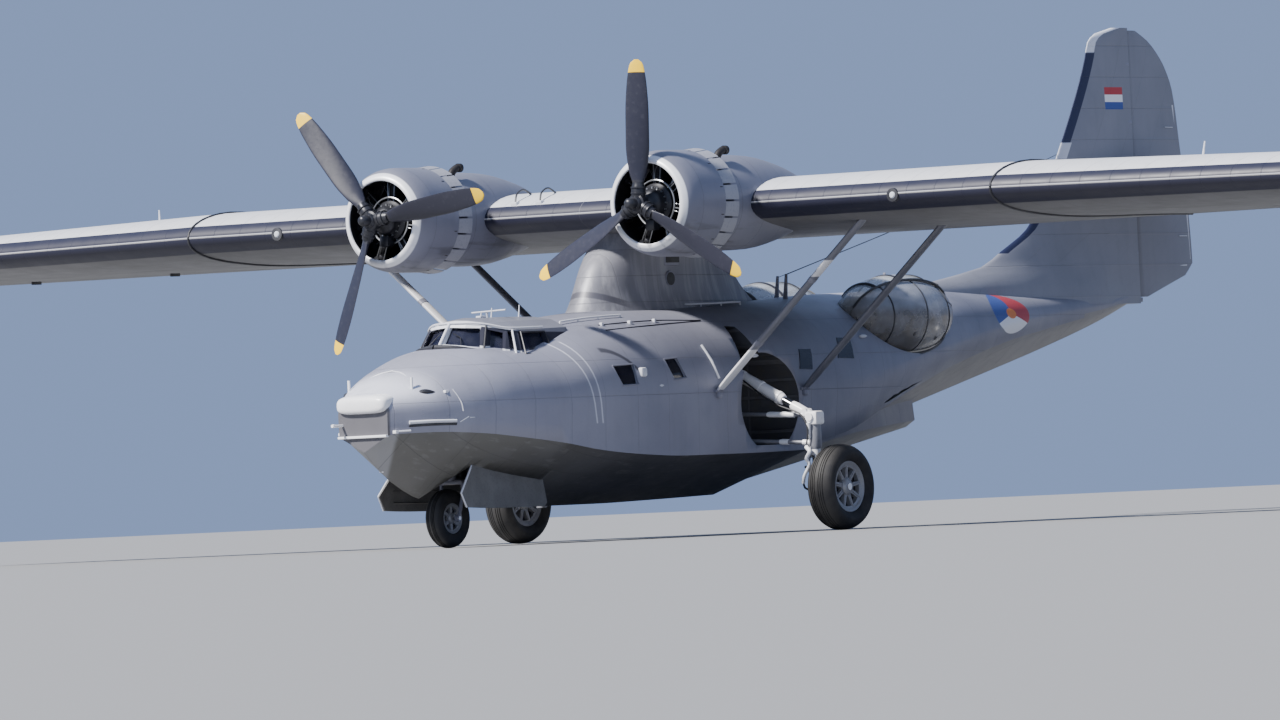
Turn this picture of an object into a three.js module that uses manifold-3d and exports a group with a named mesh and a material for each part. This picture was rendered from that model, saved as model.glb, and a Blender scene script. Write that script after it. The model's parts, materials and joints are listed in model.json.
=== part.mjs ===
// Twin-engined amphibian flying boat, standing on its wheels, millimetres, +Z up.
// x runs to port, y runs aft from the bow (a station), z runs up from the ground.
// The last lines move the whole group so that its origin is under the middle of the aircraft.
import * as THREE from "three";
import { mergeVertices } from "three/addons/utils/BufferGeometryUtils.js";
import Module from "manifold-3d";

const wasm = await Module();
wasm.setup();

// Driving dimensions
const BOW_TIP_Y = 320;
const TAIL_TIP_Y = 19460;
const SEAT_GAP = 0.3; // between pieces that touch
const RUN_GAP = 8; // between pieces that move
const PIN_GAP = 0.6; // at the pins they turn on
const SKIN = 60; // hull wall with its frames, forward and amidships
const TAIL_SKIN = 25; // hull wall of the waist and the tail
const FIN_SKIN = 16; // wall of the hollow fin and tailplane
const FRAME_STATIONS = { bow: 1700, cabin: 3900, wells: 6350, waist: 8600, tail: 12000 };

const SPAN = 31700;
const WING_CHORD = 4572;
const WING_LE_Y = 5279;
const WING_LE_Z = 4228;
const WING_INCIDENCE = THREE.MathUtils.degToRad(4.5);
const WING_JOINT_X = 6452;
const FLOAT_JOINT_X = 15150;
const TIP_CHORD = 3050;
const TIP_LE_Y = 6030;
const AILERON = { inner: 8350, outer: 14850, hinge: 0.79 };

const ENGINE_X = 2134;
const THRUST_Z = 4255;
const PROP_Y = 3687;
const PROP_RADIUS = 1829;
const COWL_FRONT_Y = 3856;
const COWL_REAR_Y = 4900;
const COWL_RADIUS = 680;
const NACELLE_FRONT_Y = 4960;
const PROP_TURN = { port: -2, starboard: 38 }; // degrees that the top blade leans to starboard

const MAIN = { x: 2608, y: 7161, radius: 555, halfWidth: 200, rim: 325, axle: 50, legX: 2235 };
const NOSE = { x: 0, y: 2203, radius: 375, halfWidth: 120, rim: 190, axle: 28, legY: 2330 };
const WELL = { y: 7140, z: 1700, radius: 640, depthX: 960, floorZ: 1140 };
const BOW_ROD = { x: 330, z: 1600, radius: 18 }; // on the starboard side
const NOSE_WELL = { halfX: 600, keelY: 1620, frontY: 1950, rearY: 3420, topZ: 1550 };
const FLOOR_Z = 1600;

const BLISTER = { x: 1030, y: 10800, z: 2780, radius: 550, halfLength: 1080, wall: 22 };
const HATCH = { halfLength: 800, low: -68, high: 62, gap: 16 }; // degrees from level outboard, upwards

const RUDDER_HINGE_Y = 18100;
const ELEVATOR_HINGE_Y = 18050;
const TAILPLANE_Z = 4700;

// Hull sections: the keel, the chine, the widest place of the side and the top of the deck
const HULL_ROWS = [
  // station, keelZ, chineX, chineZ, sideX, sideZ, deckZ
  [540, 1250, 385, 1450, 390, 1720, 1950],
  [650, 1150, 445, 1465, 470, 1720, 2010],
  [1050, 870, 720, 1470, 745, 1720, 2200],
  [1700, 620, 1030, 1430, 1055, 1730, 2425],
  [2200, 560, 1180, 1370, 1210, 1735, 2545],
  [3100, 505, 1350, 1250, 1380, 1745, 2590],
  [3500, 495, 1400, 1180, 1430, 1755, 2700],
  [3900, 485, 1440, 1130, 1470, 1765, 2810],
  [4500, 480, 1490, 1080, 1520, 1780, 2900],
  [5300, 480, 1525, 1045, 1555, 1800, 2965],
  [6600, 500, 1540, 1045, 1565, 1800, 3005],
  [7940, 530, 1540, 1060, 1565, 1810, 3030],
  [7950, 780, 1538, 1120, 1565, 1810, 3030],
  [9000, 930, 1440, 1280, 1530, 1850, 3055],
  [10300, 1130, 1170, 1600, 1370, 2010, 3120],
  [12400, 1600, 790, 2105, 960, 2360, 3150],
  [14200, 1995, 540, 2440, 640, 2640, 3080],
  [15700, 2330, 380, 2640, 430, 2790, 3060],
  [17100, 2680, 230, 2830, 250, 2900, 3080],
  [17900, 2930, 110, 2990, 115, 3030, 3130],
];
// Planing bottom behind the main step, drawn in to the second step
const AFTERBODY_ROWS = [
  // station, keelZ, chineX, chineZ, topX, topZ
  [7950, 600, 1538, 1085, 1500, 1500],
  [10000, 930, 930, 1280, 860, 1700],
  [12385, 1320, 150, 1410, 120, 1680],
];

// Pylon between the deck and the wing
const PYLON_ROWS = [
  // z, frontY, rearY, halfX
  [2700, 4900, 9500, 680],
  [3020, 5150, 9040, 520],
  [3250, 5270, 8760, 470],
  [3550, 5450, 8490, 450],
  [3800, 5690, 8330, 490],
  [4150, 5900, 8300, 700],
];

// Fin and rudder, in level cuts
const FIN_ROWS = [
  // z, frontY, flare: how many times wider the foot is than the fin
  [2900, 12350, 2.4],
  [3130, 12500, 2.2],
  [3260, 13150, 1.95],
  [3440, 14320, 1.65],
  [3650, 14810, 1.4],
  [3940, 15430, 1.15],
  [4300, 15790, 1],
  [5000, 16290, 1],
  [6290, 17040, 1],
  [6500, 17120, 1],
  [6620, 17310, 1],
  [6700, 17700, 1],
];
const RUDDER_ROWS = [
  // z, rearY
  [2990, 19200],
  [3250, 19230],
  [3450, 19460],
  [4110, 19420],
  [5020, 19280],
  [5850, 19140],
  [6190, 18960],
  [6370, 18790],
  [6530, 18580],
  [6665, 18290],
];
const RUDDER_HALF = { footZ: 2990, foot: 114, topZ: 6665, top: 40 };
const RUDDER_HEEL = { flatEndY: 18160, rearY: 19230, rearZ: 3270 }; // its foot slants up behind a short flat
const TAILPLANE_ROWS = [
  // x, frontY, rearY, halfZ
  [30, 16150, 18900, 95],
  [2600, 16420, 18880, 78],
  [4100, 16620, 18800, 56],
  [4550, 16900, 18640, 40],
  [4650, 17250, 18420, 24],
];

// Plain geometry helpers

// A manifold solid from a closed three.js geometry
function solid(geometry) {
  geometry.deleteAttribute("normal");
  geometry.deleteAttribute("uv");
  const merged = mergeVertices(geometry, 0.01);
  const position = merged.getAttribute("position");
  const source = merged.index.array;
  const triangles = [];
  for (let i = 0; i < source.length; i += 3) {
    const [a, b, c] = [source[i], source[i + 1], source[i + 2]];
    if (a !== b && b !== c && a !== c) triangles.push(a, b, c);
  }
  const corner = (i) => new THREE.Vector3().fromBufferAttribute(position, i);
  let volume = 0;
  for (let i = 0; i < triangles.length; i += 3) {
    volume += corner(triangles[i]).dot(corner(triangles[i + 1]).cross(corner(triangles[i + 2])));
  }
  if (volume < 0) triangles.reverse();
  return new wasm.Manifold(new wasm.Mesh({
    numProp: 3,
    vertProperties: Float32Array.from(position.array),
    triVerts: Uint32Array.from(triangles),
  }));
}

// A closed skin over rings of equally many points, capped at both ends
function skin(rings) {
  const count = rings[0].length;
  const points = rings.flat();
  const index = [];
  for (let r = 0; r + 1 < rings.length; r++) {
    for (let i = 0; i < count; i++) {
      const a = r * count + i;
      const b = r * count + ((i + 1) % count);
      index.push(a, b, b + count, a, b + count, a + count);
    }
  }
  for (const r of [0, rings.length - 1]) {
    const middle = [0, 1, 2].map((k) => rings[r].reduce((sum, p) => sum + p[k], 0) / count);
    const centre = points.push(middle) - 1;
    for (let i = 0; i < count; i++) {
      const a = r * count + i;
      const b = r * count + ((i + 1) % count);
      index.push(...(r === 0 ? [centre, b, a] : [centre, a, b]));
    }
  }
  const geometry = new THREE.BufferGeometry();
  geometry.setAttribute("position", new THREE.Float32BufferAttribute(points.flat(), 3));
  geometry.setIndex(index);
  return solid(geometry);
}

function box(low, high) {
  const size = high.map((value, k) => value - low[k]);
  const middle = high.map((value, k) => (value + low[k]) / 2);
  return solid(new THREE.BoxGeometry(...size).translate(...middle));
}

// A round bar between two points
function rod(from, to, radius, sides = 16, endRadius = radius) {
  const start = new THREE.Vector3(...from);
  const end = new THREE.Vector3(...to);
  const along = end.clone().sub(start);
  const geometry = new THREE.CylinderGeometry(endRadius, radius, along.length(), sides);
  const turn = new THREE.Quaternion().setFromUnitVectors(new THREE.Vector3(0, 1, 0), along.normalize());
  geometry.applyQuaternion(turn);
  geometry.translate(...start.add(end).multiplyScalar(0.5).toArray());
  return solid(geometry);
}

// A turned piece about a line along y through (x, z); profile points are [radius, y]
function turnedY(profile, x, z, sides) {
  const points = profile.map(([radius, y]) => new THREE.Vector2(radius, y));
  return solid(new THREE.LatheGeometry(points, sides).translate(x, 0, z));
}

// A turned piece about a line along x through (y, z); profile points are [radius, x]
function turnedX(profile, y, z, sides) {
  const points = profile.map(([radius, x]) => new THREE.Vector2(radius, x));
  return solid(new THREE.LatheGeometry(points, sides).rotateZ(-Math.PI / 2).translate(0, y, z));
}

function union(list) {
  return list.reduce((whole, piece) => whole.add(piece));
}

// Colours
const finish = (colour, roughness, metalness = 0) => (
  new THREE.MeshStandardMaterial({ color: colour, roughness, metalness })
);
const PAINT = {
  grey: finish(0x7d808e, 0.45),
  bottom: finish(0x2c2c30, 0.6),
  white: finish(0xd8d8dc, 0.5),
  black: finish(0x1b1b1f, 0.5),
  gear: finish(0xe4e4e2, 0.4),
  metal: finish(0x8d8f92, 0.4, 0.8),
  rubber: finish(0x1f1f20, 0.85),
  glass: finish(0x3a4046, 0.1),
  inside: finish(0x55584a, 0.7),
  seat: finish(0x3c322a, 0.8),
};

const aircraft = new THREE.Group();
function add(name, piece, material) {
  const mesh = piece.getMesh();
  const geometry = new THREE.BufferGeometry();
  geometry.setAttribute("position", new THREE.BufferAttribute(mesh.vertProperties, 3));
  geometry.setIndex(new THREE.BufferAttribute(mesh.triVerts, 1));
  const node = new THREE.Mesh(geometry, material);
  node.name = name;
  aircraft.add(node);
}
const SIDES = [["port", 1], ["starboard", -1]];
// The same piece on the other side of the aircraft
const sided = (piece, side) => (side > 0 ? piece : piece.scale([-1, 1, 1]));

// Hull

const DECK_STEPS = 7;
const DECK_SQUARENESS = 2.3;

function hullRing([station, keelZ, chineX, chineZ, sideX, sideZ, deckZ], grow) {
  const port = [[chineX + grow, chineZ], [sideX + grow, sideZ]];
  for (let i = 1; i < DECK_STEPS; i++) {
    const angle = (i / DECK_STEPS) * (Math.PI / 2);
    const across = Math.cos(angle) ** (2 / DECK_SQUARENESS);
    const up = Math.sin(angle) ** (2 / DECK_SQUARENESS);
    port.push([(sideX + grow) * across, sideZ + (deckZ + grow - sideZ) * up]);
  }
  const starboard = port.map(([x, z]) => [-x, z]).reverse();
  const ring = [[0, keelZ - grow], ...port, [0, deckZ + grow], ...starboard];
  return ring.map(([x, z]) => [x, station, z]);
}

function afterbodyRing([station, keelZ, chineX, chineZ, topX, topZ], grow) {
  const port = [[chineX + grow, chineZ], [topX + grow, topZ]];
  const starboard = port.map(([x, z]) => [-x, z]).reverse();
  return [[0, keelZ - grow], ...port, ...starboard].map(([x, z]) => [x, station, z]);
}

function hullForm(grow) {
  const body = skin(HULL_ROWS.map((row) => hullRing(row, grow)));
  return body.add(skin(AFTERBODY_ROWS.map((row) => afterbodyRing(row, grow))));
}

const FAR = 20000;
const between = (y0, y1) => box([-FAR, y0 + SEAT_GAP / 2, -FAR], [FAR, y1 - SEAT_GAP / 2, FAR]);
const outerHull = hullForm(0);
const hullSeat = hullForm(SEAT_GAP);
const rowsBetween = (low, high) => HULL_ROWS.filter(([station]) => station > low && station < high);
const innerHull = skin(rowsBetween(1000, 16000).map((row) => hullRing(row, -SKIN)));
const insideSeat = skin(rowsBetween(1000, 16000).map((row) => hullRing(row, -SKIN - SEAT_GAP)));

// Canopy over the cockpit, in plan: half outline from the middle of the windscreen aft
const CANOPY_BASE = [
  // x, y, z
  [0, 2190, 2540], [260, 2250, 2520], [500, 2410, 2470], [740, 2580, 2400], [860, 2800, 2370],
  [900, 3400, 2370], [900, 3900, 2370],
];
const CANOPY_EAVES = [
  [0, 2410, 2825], [230, 2460, 2820], [430, 2590, 2800], [620, 2800, 2740], [680, 2950, 2735],
  [720, 3400, 2740], [740, 3900, 2750],
];
const CANOPY_ROOF = [
  [0, 2560, 2885], [170, 2600, 2880], [320, 2700, 2865], [450, 2860, 2840], [480, 3000, 2845],
  [500, 3400, 2855], [510, 3900, 2860],
];
const CANOPY_CROWN = [
  [0, 2760, 2915], [80, 2780, 2912], [150, 2840, 2908], [200, 2920, 2905], [210, 3020, 2908],
  [220, 3400, 2912], [225, 3900, 2905],
];
const CANOPY_SINK = 150; // how far its sides run down behind the deck skin
const CANOPY_WALL = 34;
const PANE_WALL = 12;

function canopyForm(inset) {
  const drawIn = ([x, y, z]) => [
    x === 0 ? 0 : x - Math.min(inset, x * 0.9),
    y < 3900 ? y + inset : y + 1,
    z - inset,
  ];
  const halves = [CANOPY_BASE, CANOPY_EAVES, CANOPY_ROOF, CANOPY_CROWN].map((half) => half.map(drawIn));
  const skirt = halves[0].map(([x, y, z]) => [x, y, z - CANOPY_SINK]);
  const rings = [skirt, ...halves].map((half) => [
    ...half, ...half.slice(1).reverse().map(([x, y, z]) => [-x, y, z]),
  ]);
  return skin(rings);
}

function prism(outline, axis, low, high) {
  const shape = new THREE.Shape(outline.map(([a, b]) => new THREE.Vector2(a, b)));
  const geometry = new THREE.ExtrudeGeometry(shape, { depth: high - low, bevelEnabled: false });
  geometry.translate(0, 0, low);
  if (axis === "x") geometry.applyMatrix4(new THREE.Matrix4().makeBasis(
    new THREE.Vector3(0, 1, 0), new THREE.Vector3(0, 0, 1), new THREE.Vector3(1, 0, 0)));
  if (axis === "y") geometry.applyMatrix4(new THREE.Matrix4().makeBasis(
    new THREE.Vector3(1, 0, 0), new THREE.Vector3(0, 0, 1), new THREE.Vector3(0, -1, 0)));
  return solid(geometry);
}

// Panes: two in front, one at each corner, two along each side, cut along y or x
const FRONT_PANES = [
  // outline of [x, z] on the port side
  [[25, 2585], [470, 2515], [395, 2770], [25, 2795]],
];
const SIDE_PANES = [
  // outline of [y, z]
  [[2680, 2445], [2770, 2445], [2880, 2700], [2800, 2720]],
  [[2830, 2425], [3400, 2425], [3400, 2700], [2935, 2700]],
];
const CORNER_PANE = [[520, 2495], [700, 2445], [600, 2700], [450, 2755]];

function paneCuts() {
  const cuts = [];
  for (const side of [1, -1]) {
    for (const outline of [...FRONT_PANES, CORNER_PANE]) {
      const mirrored = outline.map(([x, z]) => [side * x, z]);
      cuts.push(prism(side > 0 ? mirrored : mirrored.reverse(), "y", -2950, -1900));
    }
    for (const outline of SIDE_PANES) {
      cuts.push(side > 0 ? prism(outline, "x", 560, 1200) : prism(outline, "x", -1200, -560));
    }
  }
  return union(cuts);
}

const canopyOuter = canopyForm(0);
const canopyInner = canopyForm(CANOPY_WALL);
const canopyPlain = canopyOuter.subtract(canopyInner).subtract(hullSeat)
  .intersect(between(2000, FRAME_STATIONS.cabin));
add("canopy_frame", canopyPlain.subtract(paneCuts()), PAINT.white);
const liner = canopyForm(CANOPY_WALL + SEAT_GAP).subtract(canopyForm(CANOPY_WALL + PANE_WALL));
add("canopy_glass", liner.subtract(hullSeat).intersect(between(2000, 3500)), PAINT.glass);

// Hull sections
const noseWell = prism([
  [-NOSE_WELL.halfX, NOSE_WELL.frontY], [0, NOSE_WELL.keelY], [NOSE_WELL.halfX, NOSE_WELL.frontY],
  [NOSE_WELL.halfX, NOSE_WELL.rearY], [-NOSE_WELL.halfX, NOSE_WELL.rearY],
], "z", 0, NOSE_WELL.topZ);
const bowRod = rod([-BOW_ROD.x, 700, BOW_ROD.z], [-BOW_ROD.x, BOW_TIP_Y, BOW_ROD.z], BOW_ROD.radius, 12);
const bowPad = skin([
  // y, halfX, lowZ, highZ
  [465, 300, 1775, 1890],
  [480, 360, 1748, 1935],
  [520, 392, 1735, 1960],
  [600, 404, 1735, 1990],
].map(([y, halfX, lowZ, highZ]) => [
  [0, y, lowZ], [halfX * 0.85, y, lowZ + 6], [halfX, y, lowZ + 50], [halfX * 0.97, y, highZ - 100],
  [halfX * 0.78, y, highZ - 30], [0, y, highZ],
  [-halfX * 0.78, y, highZ - 30], [-halfX * 0.97, y, highZ - 100], [-halfX, y, lowZ + 50],
  [-halfX * 0.85, y, lowZ + 6],
]));
add("bow_pad", bowPad.subtract(hullSeat).subtract(hullSeat.translate([0, -SEAT_GAP, 0])), PAINT.white);
add("hull_bow", outerHull.intersect(between(0, FRAME_STATIONS.bow)).subtract(noseWell).add(bowRod), PAINT.grey);

// The cockpit section is open under the canopy, and its well is open below
const WINDOWS = [
  // y of the lower front corner, lowZ, highZ, length, slant
  [3990, 1970, 2240, 440, 20],
  [5130, 2030, 2300, 400, 60],
];
const windowCuts = union(WINDOWS.map(([y, lowZ, highZ, length, slant]) => prism(
  [[y, lowZ], [y + length, lowZ], [y + length - slant, highZ], [y - slant, highZ]], "x", -FAR, FAR,
)));
const forwardHollow = innerHull.intersect(box([-FAR, 1760, FLOOR_Z], [FAR, FAR, FAR]));
const cockpitSection = outerHull.intersect(between(FRAME_STATIONS.bow, FRAME_STATIONS.cabin))
  .subtract(forwardHollow)
  .subtract(canopyForm(CANOPY_WALL / 2).intersect(box([-FAR, 0, 2300], [FAR, FAR, FAR])))
  .subtract(noseWell);
add("hull_cockpit", cockpitSection, PAINT.grey);
add("hull_cabin", outerHull.intersect(between(FRAME_STATIONS.cabin, FRAME_STATIONS.wells))
  .subtract(forwardHollow).subtract(windowCuts), PAINT.grey);

const mainWell = rod([WELL.depthX, WELL.y, WELL.z], [FAR / 4, WELL.y, WELL.z], WELL.radius, 40)
  .intersect(box([0, 0, WELL.floorZ], [FAR, FAR, FAR]));
const PASSAGE = { halfX: 860, lowZ: 1250, highZ: 2800 };
const passage = box([-PASSAGE.halfX, 0, PASSAGE.lowZ], [PASSAGE.halfX, FAR, PASSAGE.highZ]);
add("hull_centre", outerHull.intersect(between(FRAME_STATIONS.wells, FRAME_STATIONS.waist))
  .subtract(passage).subtract(mainWell).subtract(sided(mainWell, -1)), PAINT.grey);

// Waist blisters: a turned shell on each side, with a hatch that turns up inside its top
const WAIST_FLOOR_Z = 1400;
const BLISTER_STEPS = 8;
const BLISTER_SIDES = 22;
function blisterForm(radius, halfLength) {
  const profile = [];
  for (let i = 0; i <= BLISTER_STEPS; i++) {
    const angle = Math.PI * (i / BLISTER_STEPS);
    const y = -halfLength * Math.cos(angle);
    profile.push([i % BLISTER_STEPS === 0 ? 0 : radius * Math.sin(angle) ** 0.8, BLISTER.y + y]);
  }
  return turnedY(profile, BLISTER.x, BLISTER.z, BLISTER_SIDES);
}
// The part of space between two angles about the blister's axis, measured up from outboard
function wedge(lowDegrees, highDegrees, halfLength) {
  const outline = [[BLISTER.x, BLISTER.z]];
  const steps = 4;
  for (let i = 0; i <= steps; i++) {
    const angle = THREE.MathUtils.degToRad(lowDegrees + ((highDegrees - lowDegrees) * i) / steps);
    outline.push([BLISTER.x + 2000 * Math.cos(angle), BLISTER.z + 2000 * Math.sin(angle)]);
  }
  return prism(outline, "y", -BLISTER.y - halfLength, -BLISTER.y + halfLength);
}
const blisterOuter = blisterForm(BLISTER.radius, BLISTER.halfLength);
const blisterInner = blisterForm(BLISTER.radius - BLISTER.wall, BLISTER.halfLength - BLISTER.wall);
const hatchOuter = blisterForm(BLISTER.radius - BLISTER.wall - HATCH.gap, BLISTER.halfLength - 30);
const hatchInner = blisterForm(BLISTER.radius - 2 * BLISTER.wall - HATCH.gap, BLISTER.halfLength - 50);
const aftHollow = skin(rowsBetween(6000, 17500).map((row) => hullRing(row, -TAIL_SKIN)));
const waistHollow = aftHollow.intersect(box([-FAR, 8500, WAIST_FLOOR_Z], [FAR, 12100, FAR]));
const blisterHole = blisterForm(BLISTER.radius + SEAT_GAP, BLISTER.halfLength + SEAT_GAP);
add("hull_waist", outerHull.intersect(between(FRAME_STATIONS.waist, FRAME_STATIONS.tail))
  .subtract(waistHollow).subtract(blisterHole).subtract(sided(blisterHole, -1)), PAINT.grey);
// The shoe on which the hatch's top edge runs, under the middle of a flat of the fixed shell
const SHOE = {
  low: BLISTER.radius - 2 * BLISTER.wall - HATCH.gap,
  top: (BLISTER.radius - BLISTER.wall) * Math.cos(Math.PI / BLISTER_SIDES) - 1.6,
  halfWidth: 12,
  turn: 4 * (360 / BLISTER_SIDES),
};
const hatchShoe = box([SHOE.low, -SHOE.halfWidth, -SHOE.halfWidth], [SHOE.top, SHOE.halfWidth, SHOE.halfWidth])
  .rotate([0, -SHOE.turn, 0]).translate([BLISTER.x, BLISTER.y, BLISTER.z]);
for (const [name, side] of SIDES) {
  const opening = wedge(HATCH.low - 1, HATCH.high, HATCH.halfLength + RUN_GAP);
  const fixed = blisterOuter.subtract(blisterInner).subtract(opening)
    .subtract(aftHollow);
  add(`${name}_blister`, sided(fixed, side), PAINT.glass);
  const hatch = hatchOuter.subtract(hatchInner)
    .intersect(wedge(HATCH.low, HATCH.high + 5, HATCH.halfLength)).add(hatchShoe);
  add(`${name}_hatch`, sided(hatch, side), PAINT.glass);
}
add("hull_tail", outerHull.intersect(between(FRAME_STATIONS.tail, 17900)).subtract(aftHollow), PAINT.grey);

// Cockpit furniture
const frameCut = (y, thick) => insideSeat.intersect(box([-FAR, y, FLOOR_Z + SEAT_GAP], [FAR, y + thick, FAR]));
const doorway = box([-330, 3000, 1650], [330, 5000, 2600]);
add("cabin_bulkhead", frameCut(3700, 40).subtract(doorway), PAINT.inside);
const panelForm = prism(
  [[-760, 2080], [760, 2080], [700, 2400], [400, 2470], [-400, 2470], [-700, 2400]], "y", -2360, -2300,
);
const panelPost = box([-40, 2310, FLOOR_Z + SEAT_GAP], [40, 2350, 2100]);
add("instrument_panel", panelForm.add(panelPost).intersect(insideSeat), PAINT.black);
for (const [name, side] of SIDES) {
  const seat = union([
    box([200, 2820, 1980], [680, 3280, 2060]),
    box([200, 3240, 2040], [680, 3320, 2560]),
    box([240, 2860, FLOOR_Z + SEAT_GAP], [300, 3240, 1990]),
    box([580, 2860, FLOOR_Z + SEAT_GAP], [640, 3240, 1990]),
  ]);
  add(`${name}_seat`, sided(seat, side), PAINT.seat);
}
const wheelRing = (x) => turnedY([[120, 2590], [150, 2590], [150, 2610], [120, 2610], [120, 2590]], x, 2330, 16)
  .add(rod([x - 130, 2600, 2330], [x + 130, 2600, 2330], 9, 6));
const yokes = union([
  rod([-720, 2600, 2120], [720, 2600, 2120], 20, 8),
  rod([440, 2600, 2120], [440, 2600, 2330], 14, 6),
  rod([-440, 2600, 2120], [-440, 2600, 2330], 14, 6),
  rod([-720, 2600, FLOOR_Z + SEAT_GAP], [-720, 2600, 2120], 20, 8),
  rod([720, 2600, FLOOR_Z + SEAT_GAP], [720, 2600, 2120], 20, 8),
  wheelRing(440), wheelRing(-440),
]);
add("control_yokes", yokes, PAINT.black);
const gunnerSeat = (side) => box([side * 420 - 160, 10200, 2050], [side * 420 + 160, 10560, 2110])
  .add(rod([side * 420, 10380, WAIST_FLOOR_Z + SEAT_GAP], [side * 420, 10380, 2060], 30, 12));
add("waist_seats", gunnerSeat(1).add(gunnerSeat(-1))
  .add(box([-460, 10320, WAIST_FLOOR_Z + SEAT_GAP], [460, 10440, WAIST_FLOOR_Z + 20])), PAINT.inside);

// Wing

const WING_STEPS = 10;
const THICKNESS = 0.15;
const CAMBER = 0.02;
const CAMBER_PEAK = 0.3;
const AFT_LEAN = 0.35;
const TRAILING_EDGE = 10;

// Heights of the upper and lower surface at a part of the chord, each as a part of the chord
function aerofoil(part) {
  const lean = 1 - AFT_LEAN * part ** 2; // the rear of the section is leaner than the front
  const half = 5 * THICKNESS * lean * (0.2969 * Math.sqrt(part) - 0.126 * part - 0.3516 * part ** 2
    + 0.2843 * part ** 3 - 0.1036 * part ** 4);
  const camber = part < CAMBER_PEAK
    ? (CAMBER / CAMBER_PEAK ** 2) * (2 * CAMBER_PEAK * part - part ** 2)
    : (CAMBER / (1 - CAMBER_PEAK) ** 2) * (1 - 2 * CAMBER_PEAK + 2 * CAMBER_PEAK * part - part ** 2);
  return { upper: camber + half, lower: camber - half };
}

// Leading edge and chord of the wing at a distance from the middle
function wingAt(x) {
  const out = Math.max(0, (Math.abs(x) - WING_JOINT_X) / (SPAN / 2 - WING_JOINT_X));
  const y = WING_LE_Y + (TIP_LE_Y - WING_LE_Y) * out;
  const chord = WING_CHORD + (TIP_CHORD - WING_CHORD) * out;
  return { y, z: WING_LE_Z - 0.15 * (y - WING_LE_Y), chord };
}

// A point of the wing's section, from its part of the chord and its height above the chord line
function wingPoint(x, along, above) {
  const { y, z } = wingAt(x);
  const [c, s] = [Math.cos(WING_INCIDENCE), Math.sin(WING_INCIDENCE)];
  return [x, y + along * c + above * s, z - along * s + above * c];
}

function wingRing(x, grow = 0) {
  const { chord } = wingAt(x);
  const upper = [];
  const lower = [];
  for (let i = 0; i <= WING_STEPS; i++) {
    const part = (1 - Math.cos((Math.PI * i) / WING_STEPS)) / 2;
    const { upper: u, lower: l } = aerofoil(part);
    const edge = (TRAILING_EDGE / 2) * part;
    upper.push(wingPoint(x, part * chord - (i === 0 ? grow : 0), u * chord + edge + (i === 0 ? 0 : grow)));
    if (i > 0) lower.push(wingPoint(x, part * chord, l * chord - edge - grow));
  }
  return [...upper.reverse(), ...lower];
}

const wingCentre = skin([wingRing(-WING_JOINT_X + SEAT_GAP), wingRing(WING_JOINT_X - SEAT_GAP)]);
const wingSeat = skin([wingRing(-WING_JOINT_X, SEAT_GAP), wingRing(WING_JOINT_X, SEAT_GAP)]);
add("wing_centre", wingCentre, PAINT.grey);

// The nose of a hinged surface is round about its hinge line, so that it turns with an even gap
function flapProfile(radius, length) {
  const points = [[length, TRAILING_EDGE / 2]];
  const steps = 8;
  for (let i = 0; i <= steps; i++) {
    const angle = Math.PI / 2 + (Math.PI * i) / steps;
    points.push([radius * Math.cos(angle), radius * Math.sin(angle)]);
  }
  points.push([length, -TRAILING_EDGE / 2]);
  return points;
}

// The room inside a hinged surface, behind a web ahead of which the nose stays solid
function flapRoom(radius, length) {
  const front = radius * 0.4;
  const rear = length * 0.72;
  const half = (a) => radius - ((radius - TRAILING_EDGE / 2) * a) / length - FIN_SKIN;
  return [[rear, half(rear)], [front, half(front)], [front, -half(front)], [rear, -half(rear)]];
}

function aileronHinge(x) {
  const { chord } = wingAt(x);
  const { upper, lower } = aerofoil(AILERON.hinge);
  return {
    along: AILERON.hinge * chord,
    above: ((upper + lower) / 2) * chord,
    radius: ((upper - lower) / 2) * chord,
    length: (1 - AILERON.hinge) * chord,
  };
}

function aileronRing(x) {
  const { along, above, radius, length } = aileronHinge(x);
  return flapProfile(radius, length).map(([a, t]) => {
    const droop = a > radius ? above : 0; // the tail of the section runs down to the chord line
    return wingPoint(x, along + a, above - droop + t);
  });
}

function aileronBay(x) {
  const { along, radius } = aileronHinge(x);
  const front = along - radius - RUN_GAP;
  return [
    wingPoint(x, front, 900), wingPoint(x, front, -900),
    wingPoint(x, 6000, -900), wingPoint(x, 6000, 900),
  ];
}

const outerWing = skin([wingRing(WING_JOINT_X + SEAT_GAP), wingRing(FLOAT_JOINT_X - SEAT_GAP)])
  .subtract(skin([aileronBay(AILERON.inner), aileronBay(AILERON.outer)]));
const hingePoint = (x) => {
  const { along, above } = aileronHinge(x);
  return wingPoint(x, along, above);
};
const AILERON_PIN = 14;
const slantGap = PIN_GAP + AILERON_PIN * 0.06; // the hinge line is slanted to the end walls
const aileron = skin([aileronRing(AILERON.inner + RUN_GAP), aileronRing(AILERON.outer - RUN_GAP)])
  .add(rod(hingePoint(AILERON.inner + slantGap), hingePoint(AILERON.outer - slantGap), AILERON_PIN, 12));

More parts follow.
